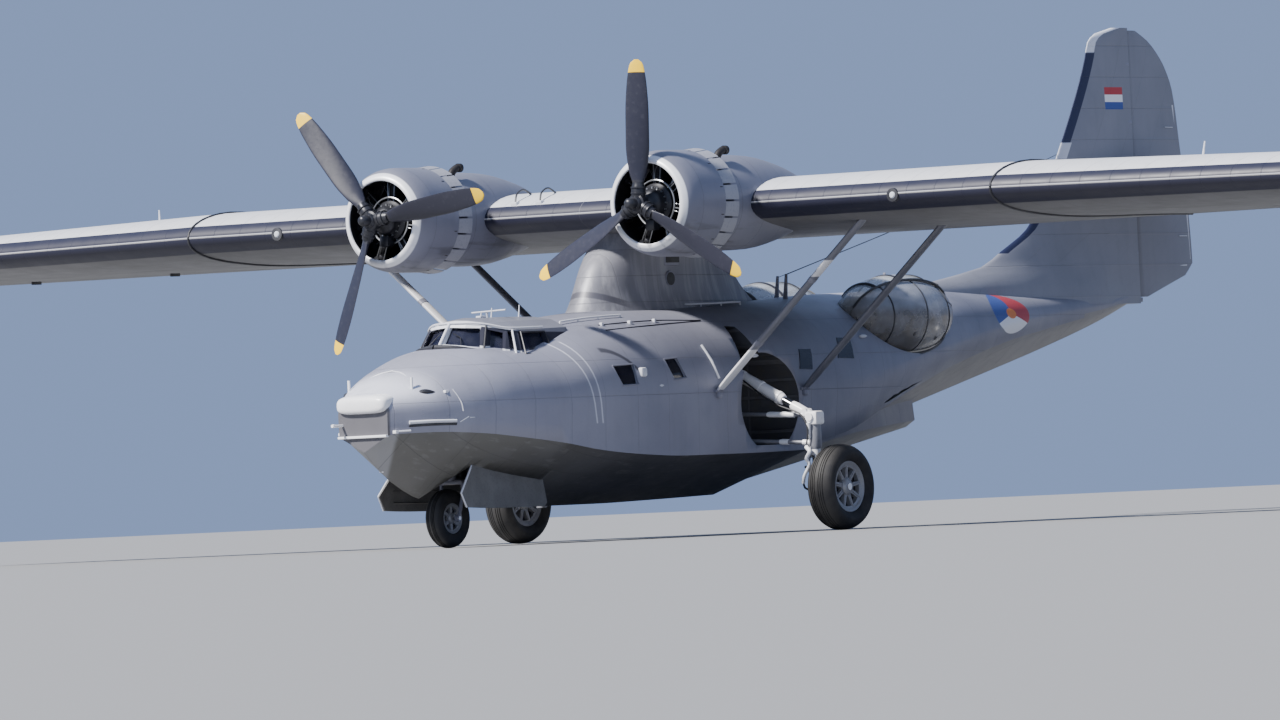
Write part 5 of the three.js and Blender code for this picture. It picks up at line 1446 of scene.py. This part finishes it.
def make_tail():
    boots = ((-.17, .17, 5.12, 6.36, BOOT_BLUE), (-.16, .16, 3.62, 4.5, BOOT_BLUE))
    fin_paint = surface_skin("fin_skin", (.19, .195, .23), (.19, .195, .23), boots, fin_marks)
    level_paint = surface_skin("tailplane_skin", (.3, .31, .34), (.2, .2, .2),
                               ((-.14, .14, 0, 4.5, BOOT_BLUE),))
    fin, rudder, tabs, straps = shapes(4)
    loft(fin, [tail_ring(RUDDER_Y, front, rudder_half(z), upright(z), flare)
               for z, front, flare in spread(FIN_ROWS, .12)])
    block(fin, (-.04, RUDDER_Y - .15, 2.922), (.04, RUDDER_Y + .04, 2.982), .005)
    piece("fin_skin", fin, fin_paint, replaces=("fin",), sharp=40, chart=fin_chart)
    loft(rudder, [flap_ring(RUDDER_Y, rear, rudder_half(z), upright(z))
                  for z, rear in spread(RUDDER_ROWS, .12)])
    clip(rudder, (0, 18.16, 2.99), Vector((0, .28, -1.07)))
    piece("rudder_skin", rudder, fin_paint, "rudder_body", "surface_fabric", ("rudder",), sharp=50,
          chart=fin_chart)
    rows = spread(TAILPLANE_ROWS, .3)
    for name, side in SIDES:
        fixed, flap = shapes(2)
        loft(fixed, [tail_ring(ELEVATOR_Y, front, half, level(x)) for x, front, _, half in rows])
        piece(f"{name}_tailplane_skin", fixed, level_paint, replaces=(f"{name}_tailplane",), sharp=50,
              chart=tail_chart, side=side)
        loft(flap, [flap_ring(ELEVATOR_Y, rear, half, level(x)) for x, _, rear, half in rows])
        clip(flap, (.23, 0, 0), (-1, 0, 0))
        clip(flap, (.23, ELEVATOR_Y, 0), Vector((-1.45, .41, 0)))
        piece(f"{name}_elevator_skin", flap, level_paint, f"{name}_elevator_body", "surface_fabric",
              (f"{name}_elevator",), sharp=50, chart=tail_chart, side=side)
    # Trim tabs, their arms, and the hinge straps
    for low, high, station in ((5.02, 5.64, 19.1), (3.5, 4.15, 19.34)):
        prism(tabs, [(-.009, station, low), (-.009, station - .03, high), (.009, station - .03, high),
                     (.009, station, low)], (0, .075, 0))
        pipe(tabs, [(.06, station - .25, (low + high) / 2), (.014, station, (low + high) / 2)], .006, 8)
    pipe(tabs, [(.06, 18.25, 3.4), (.012, 19.3, 3.42)], .01, 8)
    piece("rudder_tabs", tabs, TRIM_PALE, "rudder_body", "grey_paint")
    for z in (3.6, 4.35, 5.4, 6.2):
        half = rudder_half(z)
        block(straps, (-half - .004, RUDDER_Y - half - .14, z - .02),
              (half + .004, RUDDER_Y - half - .012, z + .02), .002)
    piece("hinge_straps", straps, GREY_PAINT)


# Fittings on the deck and sides

PORTS = (
    ((7.86, 2.11), (8.14, 2.1), (8.25, 2.37), (7.98, 2.37)),
    ((8.8, 2.24), (9.17, 2.23), (9.26, 2.5), (8.97, 2.51)),
)
RAIL_PATHS = (((.55, 4.03, 2.79), (.64, 4.5, 2.83), (.73, 5.08, 2.855)),
              ((.49, 6.72, 2.975), (.5, 7.4, 2.985), (.51, 8.02, 2.995)))
# Two dark deck seams that meet, as (station, z)
DECK_SEAMS = (((4.45, 2.76), (5.0, 2.785), (5.6, 2.8), (6.43, 2.785)),
              ((4.42, 2.69), (5.3, 2.735), (6.43, 2.78)))


def make_deck_fittings():
    rails, scoops, dark, masts, wires = shapes(5)
    for _, s in SIDES:
        for path in RAIL_PATHS:
            line = curve([at(s * x, y, z + .035) for x, y, z in path], 6)
            pipe(rails, [line[0] + Vector((0, -.02, -.1)), *line, line[-1] + Vector((0, .02, -.1))], .013)
            for p in line[::4]:
                pipe(rails, [p, p + Vector((0, 0, -.1))], .009, 8)
        pipe(rails, [on_side(5.93, 2.46, .012), on_side(5.98, 2.25, .012), on_side(6.04, 2.02, .012)], .018)
        for line in DECK_SEAMS:
            pipe(dark, [on_side(y, z, .004) for y, z in line], .008, 8, smooth=5)
        # Pale cleats on the upper seam
        for k in range(3):
            spot = on_side(4.5 + .5 * k, 2.762 + .015 * k, .01)
            block(rails, spot + Vector((-.025, -.02, -.02)), spot + Vector((.025, .02, .03)), .008)
        block(scoops, (s * 1.49 - .05, 4.44, 2.07), (s * 1.49 + .03, 4.56, 2.19), .025)
        for corners in PORTS:
            pane = bmesh.new()
            side_pane(pane, [Vector(c) for c in corners], .007)
            flip(pane, s)
            add(dark, pane)
        # Small streamlined lumps on the hull's side
        lump = [(0, -.09), (.016, -.07), (.026, -.02), (.022, .04), (0, .09)]
        for y, z, x in ((9.6, 2.52, 1.34), (4.85, 1.95, 1.51), (6.9, 2.3, 1.52)):
            turned(scoops, lump, at(s * x, y, z), Y, 14)
    piece("deck_rails", rails, TRIM_PALE)
    piece("side_scoops", scoops, TRIM_PALE)
    piece("waist_ports", dark, PANE_GLASS)
    for x, station, z, tall in ((.25, 9.4, 3.05, .34), (-.25, 9.9, 3.08, .3), (0, 12.0, 3.13, .26)):
        pipe(masts, [(x, station, z - .03), (x, station + .05, z + tall)], [.022, .012], 10, 1.8, Y)
        turned(masts, [(0, -.02), (.06, -.02), (.055, .012), (0, .02)], (x, station, z), Z, 20)
    end = at(0, 16.25, 4.96)
    for start in (at(.25, 9.45, 3.38), at(-.25, 9.95, 3.36)):
        middle = (start + end) / 2 + Vector((0, 0, -.05))
        pipe(wires, [start, middle, end], .004, 6, smooth=10)
    piece("deck_masts", masts, GREY_PAINT)
    piece("aerial_wires", wires, DARK)


# Wheels and tyres

def tyre_profile(gear):
    """Round tyre section as (radius, distance from the middle), with four grooves in the tread."""
    outer, rim, half = gear["radius"], gear["rim"], gear["half"]
    rows = [(0, .62), (.06, .74), (.2, .88), (.45, 1), (.7, .9), (.82, .76), (.9, .6)]
    side = [(rim + (outer - rim) * d, half * w) for d, w in rows]
    shoulder = curve([(r, s, 0) for r, s in side], 3)
    points = [(p.x, p.y) for p in shoulder]
    low, wide = points[-1]
    grooved = []
    for k in range(1, 13):
        s = wide * (1 - k / 12)
        r = low + (outer - low) * (1 - (s / wide) ** 2) ** .8
        if any(abs(s - wide * g) < wide / 30 for g in (.25, .5, .75)):
            grooved += [(r, s + .006), (r - .009, s + .004), (r - .009, s - .004), (r, s - .006)]
        else:
            grooved.append((r, s))
    half_way = points + grooved
    return half_way + [(r, -s) for r, s in reversed(half_way) if s > TINY]


def make_wheel(name, gear, body, side, holes):
    """A tyre, and a wheel of two spoked discs with a dark drum between them."""
    centre = at(side * gear["x"], gear["y"], gear["radius"])
    rim, half = gear["rim"], gear["half"]
    edge, hub = half * .66, rim * .28
    tyre, disc, drum, rings = shapes(4)

    def ring(bm, profile, steps=96, closed=True):
        turned(bm, profile, centre, X, steps, closed)

    ring(tyre, tyre_profile(gear), 72)
    dish = [(.9, .92), (.8, .8), (.3, .72), (.3, .3), (.8, .3), (.9, .3)]
    for s in (-1, 1):
        ring(disc, [(rim * r, s * edge * t) for r, t in dish])
    wide = pi / holes * .74
    corners = ((.37, -.5), (.37, 0), (.37, .5), (.79, 1), (.79, 0), (.79, -1))
    for k in range(holes):
        tool, turn = bmesh.new(), 2 * pi * (k + .5) / holes
        spots = [(turn + wide * w, rim * r) for r, w in corners]
        prism(tool, [centre + Vector((-half, sin(a) * r, cos(a) * r)) for a, r in spots], (2 * half, 0, 0))
        disc = joined(disc, tool)
    ring(drum, [(rim * r, edge * t) for r, t in ((.3, .25), (.88, .25), (.88, -.25), (.3, -.25))], 72)
    lip = [(rim * r, edge * t) for r, t in ((.88, .9), (.93, 1.02), (1, 1.06), (1.03, .98), (.985, .86),
                                            (.97, .5))]
    ring(rings, lip + [(r, -s) for r, s in reversed(lip)])
    boss = [(0, 0), (1.2, 0), (1.2, .8), (.95, .95), (.8, 1), (.45, 1.02), (.4, .9), (0, .9)]
    for s in (-1, 1):
        def spot(turn, r, out):
            return centre + Vector((s * edge * out, sin(turn) * r, cos(turn) * r))

        ring(rings, [(hub * r, s * edge * t) for r, t in boss], 48, False)
        for k in range(holes):
            # A bolt and a raised rib along each spoke
            a = 2 * pi * k / holes
            pipe(rings, [spot(a, hub * 1.25, .7), spot(a, hub * 1.25, .84)], rim * .022, 6)
            pipe(rings, [spot(a, rim * .42, .74), spot(a, rim * .86, .84)], [rim * .03, rim * .024], 10)
    node = name.replace("wheel", "tyre")
    piece(f"{node}_rubber", tyre, tyre_rubber(f"{node}_rubber_skin", gear), body, "tyre", (node,), sharp=30)
    piece(f"{name}_drum", drum, DARK, body, sharp=35)
    piece(f"{name}_disc", disc, WHEEL_METAL, body, "wheel_metal", (name,), sharp=35)
    piece(f"{name}_rim_and_hub", rings, WHEEL_METAL, body, "wheel_metal", sharp=35)


# Landing gear

def make_main_leg(name, side):
    x, y = MAIN["leg"], MAIN["y"]
    white, grey, dark, bright = shapes(4)
    # Slanting shock strut: thick sleeve above, bright piston, fork end at the knuckle
    pipe(white, [(.985, y, 2.105), (1.06, y, 2.067), (1.72, y, 1.731), (1.76, y, 1.711)],
         [.062, .078, .078, .066], 24)
    pipe(bright, [(1.7, y, 1.742), (2.0, y, 1.589)], .047, 20)
    pipe(white, [(1.9, y, 1.64), (1.96, y, 1.609), (2.2, y, 1.487)], [.058, .066, .058], 20)
    for t in (.06, .5, .93):
        p = at(1.06, y, 2.067).lerp(at(1.72, y, 1.731), t)
        pipe(white, [p, p + Vector((.035, 0, -.0178))], .086, 24)
    # Knuckle casting
    block(white, (2.14, y - .1, 1.37), (2.335, y + .1, 1.55), .035)
    pipe(white, [(x, y - .125, 1.475), (x, y + .125, 1.475)], .05, 20)
    pipe(white, [(2.12, y - .07, 1.55), (2.12, y + .07, 1.55)], .04, 16)
    pipe(white, [(x - .02, y - .11, 1.4), (x - .02, y - .09, 1.2)], [.03, .012], 12)
    # Upper and lower links: grey inboard, white sleeves and eyes outboard
    for front, inner_z, outer_z, cut, sleeve in ((7.0, 1.56, 1.5, .46, .32), (6.98, 1.22, 1.14, .6, .1)):
        start, end = at(.985, front, inner_z), at(x, y - .02, outer_z)
        near, over, far, eye, rim, boss = (start.lerp(end, t) for t in (
            cut, cut + .03, cut + sleeve, .7, .87, .97))
        pipe(grey, [start, near], .026, 16)
        pipe(white, [near, over, far], [.03, .037, .037], 16)
        pipe(grey, [eye, end], .027, 16)
        pipe(white, [rim, boss], .038, 16)
        pipe(dark, [start + Vector((0, -.05, 0)), start + Vector((0, .05, 0))], .034, 16)
    # Upright with its sliding tube, the axle and the torque links
    axle = MAIN["radius"]
    pipe(grey, [(x, y, 1.42), (x, y, 1.36), (x, y, 1.1), (x, y, 1.06)], [.07, .082, .082, .07], 28)
    pipe(white, [(x, y, 1.08), (x, y, .98)], .066, 24)
    pipe(bright, [(x, y, 1.0), (x, y, .62)], .05, 24)
    pipe(grey, [(x, y, .68), (x, y, .46)], [.062, .07], 24)
    pipe(grey, [(2.155, y, axle), (2.3, y, axle)], .085, 28)
    pipe(bright, [(2.3, y, axle), (2.752, y, axle)], [.05, .045], 24)
    elbow = (6.98, .83)
    for shift in (-.024, .024):
        pipe(grey, [(x + shift, 7.03, 1.09), (x, *elbow)], .015, 10)
        pipe(grey, [(x, *elbow), (x + shift, 7.1, .6)], .015, 10)
    pipe(dark, [(x - .05, *elbow), (x + .05, *elbow)], .017, 12)
    # Brake pipe that curves down ahead of the tyre, and its hose end
    mouth = (x - .07, 6.95, .62)
    pipe(white, [(x - .06, 7.04, 1.09), (x + .02, 7.0, 1.02), (x - .02, 6.98, .94), (x + .04, 6.95, .86),
                 (x - .03, 6.93, .72), mouth], [.028] * 14 + [.022] * 17, 12, smooth=6)
    pipe(dark, [mouth, (x - .09, 7.02, .56), (x - .06, 7.08, .53)], .014, 10, smooth=5)
    pipe(dark, [(1.2, y - .1, 1.99), (1.7, y - .12, 1.67), (2.12, y - .12, 1.5), (x - .02, 7.03, 1.3),
                (x - .06, 7.04, 1.1)], .011, 8, smooth=6)
    # Pintle fittings on the well's back wall
    for z, front, rear in ((2.12, -.08, .08), (1.56, -.2, -.1), (1.22, -.2, -.1)):
        block(dark, (.962, y + front, z - .05), (1.0, y + rear, z + .05), .01)
    piece(f"{name}_shock_strut", white, WHITE_PAINT, slot="gear_paint", replaces=(f"{name}_main_leg",),
          sharp=40, side=side)
    piece(f"{name}_leg_links", grey, LEG_GREY, sharp=40, side=side)
    piece(f"{name}_leg_pistons", bright, STEEL, sharp=40, side=side)
    piece(f"{name}_leg_fittings", dark, DARK, sharp=40, side=side)


DOOR_ROWS = [
    # hinge station, low station, top z, low z
    (1.96, 1.64, 1.05, .69), (2.01, 1.74, 1.04, .505), (2.7, 2.7, .93, .48), (3.38, 3.38, .85, .48),
    (3.41, 3.44, .845, .52),
]


def make_nose_gear():
    y, axle = NOSE["leg"], (NOSE["y"], NOSE["radius"])
    post, bright, dark, fork = shapes(4)
    pipe(post, [(0, y, .972), (0, y, 1.0), (0, y, 1.3), (0, y, 1.545)], [.058, .07, .066, .06], 28)
    for z in (1.02, 1.14, 1.44):
        pipe(post, [(0, y, z), (0, y, z + .035)], .078, 28)
    pipe(post, [(0, 2.38, 1.13), (0, 3.36, 1.39)], .028, 16)
    pipe(post, [(-.05, 2.4, 1.135), (.05, 2.4, 1.135)], .038, 16)
    block(post, (-.09, 3.34, 1.34), (.09, 3.42, 1.47), .014)
    pipe(fork, [(0, y, .95), (0, y, .85)], .056, 24)
    pipe(bright, [(0, y, 1.075), (0, y, .95)], .0275, 20)
    block(fork, (-.187, 2.275, .8), (.187, 2.385, .86), .022)
    for s in (-1, 1):
        pipe(post, [(.04, 2.36, 1.16), (.5, 2.5, 1.5)], .018, 12, side=s)
        pipe(dark, [(.05, 2.42, 1.5), (.09, 2.42, 1.25), (.075, 2.4, 1.02)], .009, 8, smooth=6, side=s)
        pipe(fork, [(.166, y, .84), (.168, y - .01, .7), (.166, y - .06, .52), (.166, 2.21, .375)],
             [.027] * 5 + [.025] * 11, 16, smooth=5, side=s)
        pipe(fork, [(.14, *axle), (.19, *axle)], .044, 24, side=s)
    pipe(bright, [(-.197, *axle), (.197, *axle)], .026, 20)
    piece("nose_post_casting", post, LEG_GREY, replaces=("nose_post",), sharp=40)
    piece("nose_post_pipes", dark, DARK)
    piece("nose_fork_arms", fork, GREY_PAINT, "nose_fork_body", "gear_paint", ("nose_fork",), sharp=40)
    piece("nose_fork_axle", bright, STEEL, "nose_fork_body", sharp=40)
    for name, side in SIDES:
        bm, edge = shapes(2)
        rings = []
        for hinge, low, top, bottom in spread(DOOR_ROWS, .18):
            tall, middle_z, middle = top - bottom, (top + bottom) / 2, (hinge + low) / 2
            rings.append([at(*p) for p in (
                (.6 + .022, hinge, top), (.63 + .022 * (middle_z - bottom) / tall, middle, middle_z),
                (.66, low, bottom), (.64, low, bottom + .003), (.612, middle, middle_z), (.6, hinge, top))])
        loft(bm, rings)
        corner = (.662, 1.64, .69)
        pipe(edge, [(.608, 1.96, 1.045), (.64, 1.79, .86), corner], .012, 10)
        pipe(edge, [corner, (.665, 1.74, .508)], .01, 10)
        # Ribs and hinge eyes
        for z, front in ((.9, 2.05), (.75, 1.9), (.6, 1.9)):
            pipe(bm, [(.618, front, z), (.6 + .04 * (1 - z), 3.36, z - .03)], .009, 8)
        for station in (2.15, 2.6, 3.0, 3.3):
            top = 1.05 - (station - 1.96) * .145
            pipe(bm, [(.588, station, top), (.605, station, top - .05)], .02, 10)
        door = f"{name}_nose_door"
        piece(f"{door}_skin", bm, DOOR_PAINT, replaces=(door,), sharp=35, side=side)
        piece(f"{door}_edge", edge, TRIM_PALE, side=side)


# Camera, floor and light

# Where the camera stands, seen from its target, in degrees and metres, and where its view's middle lies
AZIMUTH, ELEVATION, ROLL = radians(36.043), radians(-.972), radians(-2.601)
DISTANCE, TARGET, TURN_RIGHT, TURN_UP = 153.518, (0, 8, 3), .005738, .00461
# Focal length in pixels of a view this many pixels wide, and the sensor's width in millimetres
FOCAL, VIEW_WIDTH, SENSOR = 11736.5, 1280, 36
SKY, SKY_STRENGTH, FLOOR_SIZE = (.31, .43, .74, 1), .82, 600
# label, way to the light, strength, angle in degrees, colour
SUNS = (("key", (-.31, -.6, .7), 10, 5, (1, .97, .93)), ("fill", (.8, -.3, .5), .25, 60, (.8, .87, 1)))


def make_stage():
    back = Vector((sin(AZIMUTH) * cos(ELEVATION), -cos(AZIMUTH) * cos(ELEVATION), sin(ELEVATION)))
    level_way = Vector((cos(AZIMUTH), sin(AZIMUTH), 0))
    up = back.cross(level_way)
    right = level_way * cos(ROLL) + up * sin(ROLL)
    above = up * cos(ROLL) - level_way * sin(ROLL)
    ahead = (-back - right * TURN_RIGHT - above * TURN_UP).normalized()
    side = ahead.cross(above).normalized()
    data = bpy.data.cameras.new("camera")
    data.sensor_width, data.lens, data.clip_end = SENSOR, FOCAL * SENSOR / VIEW_WIDTH, 2000
    camera = placed("camera", data)
    axes = Matrix((side, side.cross(ahead), -ahead)).transposed().to_4x4()
    camera.matrix_world = Matrix.Translation(at(*TARGET) + back * DISTANCE) @ axes
    bpy.context.scene.camera = camera

    bm = bmesh.new()
    bmesh.ops.create_grid(bm, x_segments=1, y_segments=1, size=FLOOR_SIZE)
    mesh = mesh_of("floor", bm)
    p = Paint("pale_floor", (.25, .25, .25))
    p.coat(p.noise(.4, 3) * .1, (.22, .22, .23))
    mesh.materials.append(p.finish(.8))
    placed("floor", mesh)

    world = bpy.data.worlds.new("sky")
    bpy.context.scene.world = world
    world.use_nodes = True
    tone = world.node_tree.nodes["Background"].inputs
    tone["Color"].default_value, tone["Strength"].default_value = SKY, SKY_STRENGTH
    for label, way, strength, soft, colour in SUNS:
        light = bpy.data.lights.new(label, "SUN")
        light.energy, light.angle, light.color = strength, radians(soft), colour
        obj = placed(label, light)
        obj.rotation_mode = "QUATERNION"
        obj.rotation_quaternion = Vector(way).to_track_quat("Z", "Y")


# The whole flying boat

for node, paint in KEPT.items():
    frame["nodes"][node].data.materials[0] = paint
for make in (make_stage, make_hull, make_side_windows, make_bow, make_canopy, make_seats, make_deck_fittings,
             make_blisters, make_wing, make_pylon, make_struts, make_tail, make_nose_gear):
    make()
for name, side in SIDES:
    for make in (make_cowl, make_engine, make_propeller, make_main_leg):
        make(name, side)
    make_wheel(f"{name}_main_wheel", MAIN, f"{name}_wheel_body", side, 9)
make_wheel("nose_wheel", NOSE, "nose_wheel_body", 1, 6)
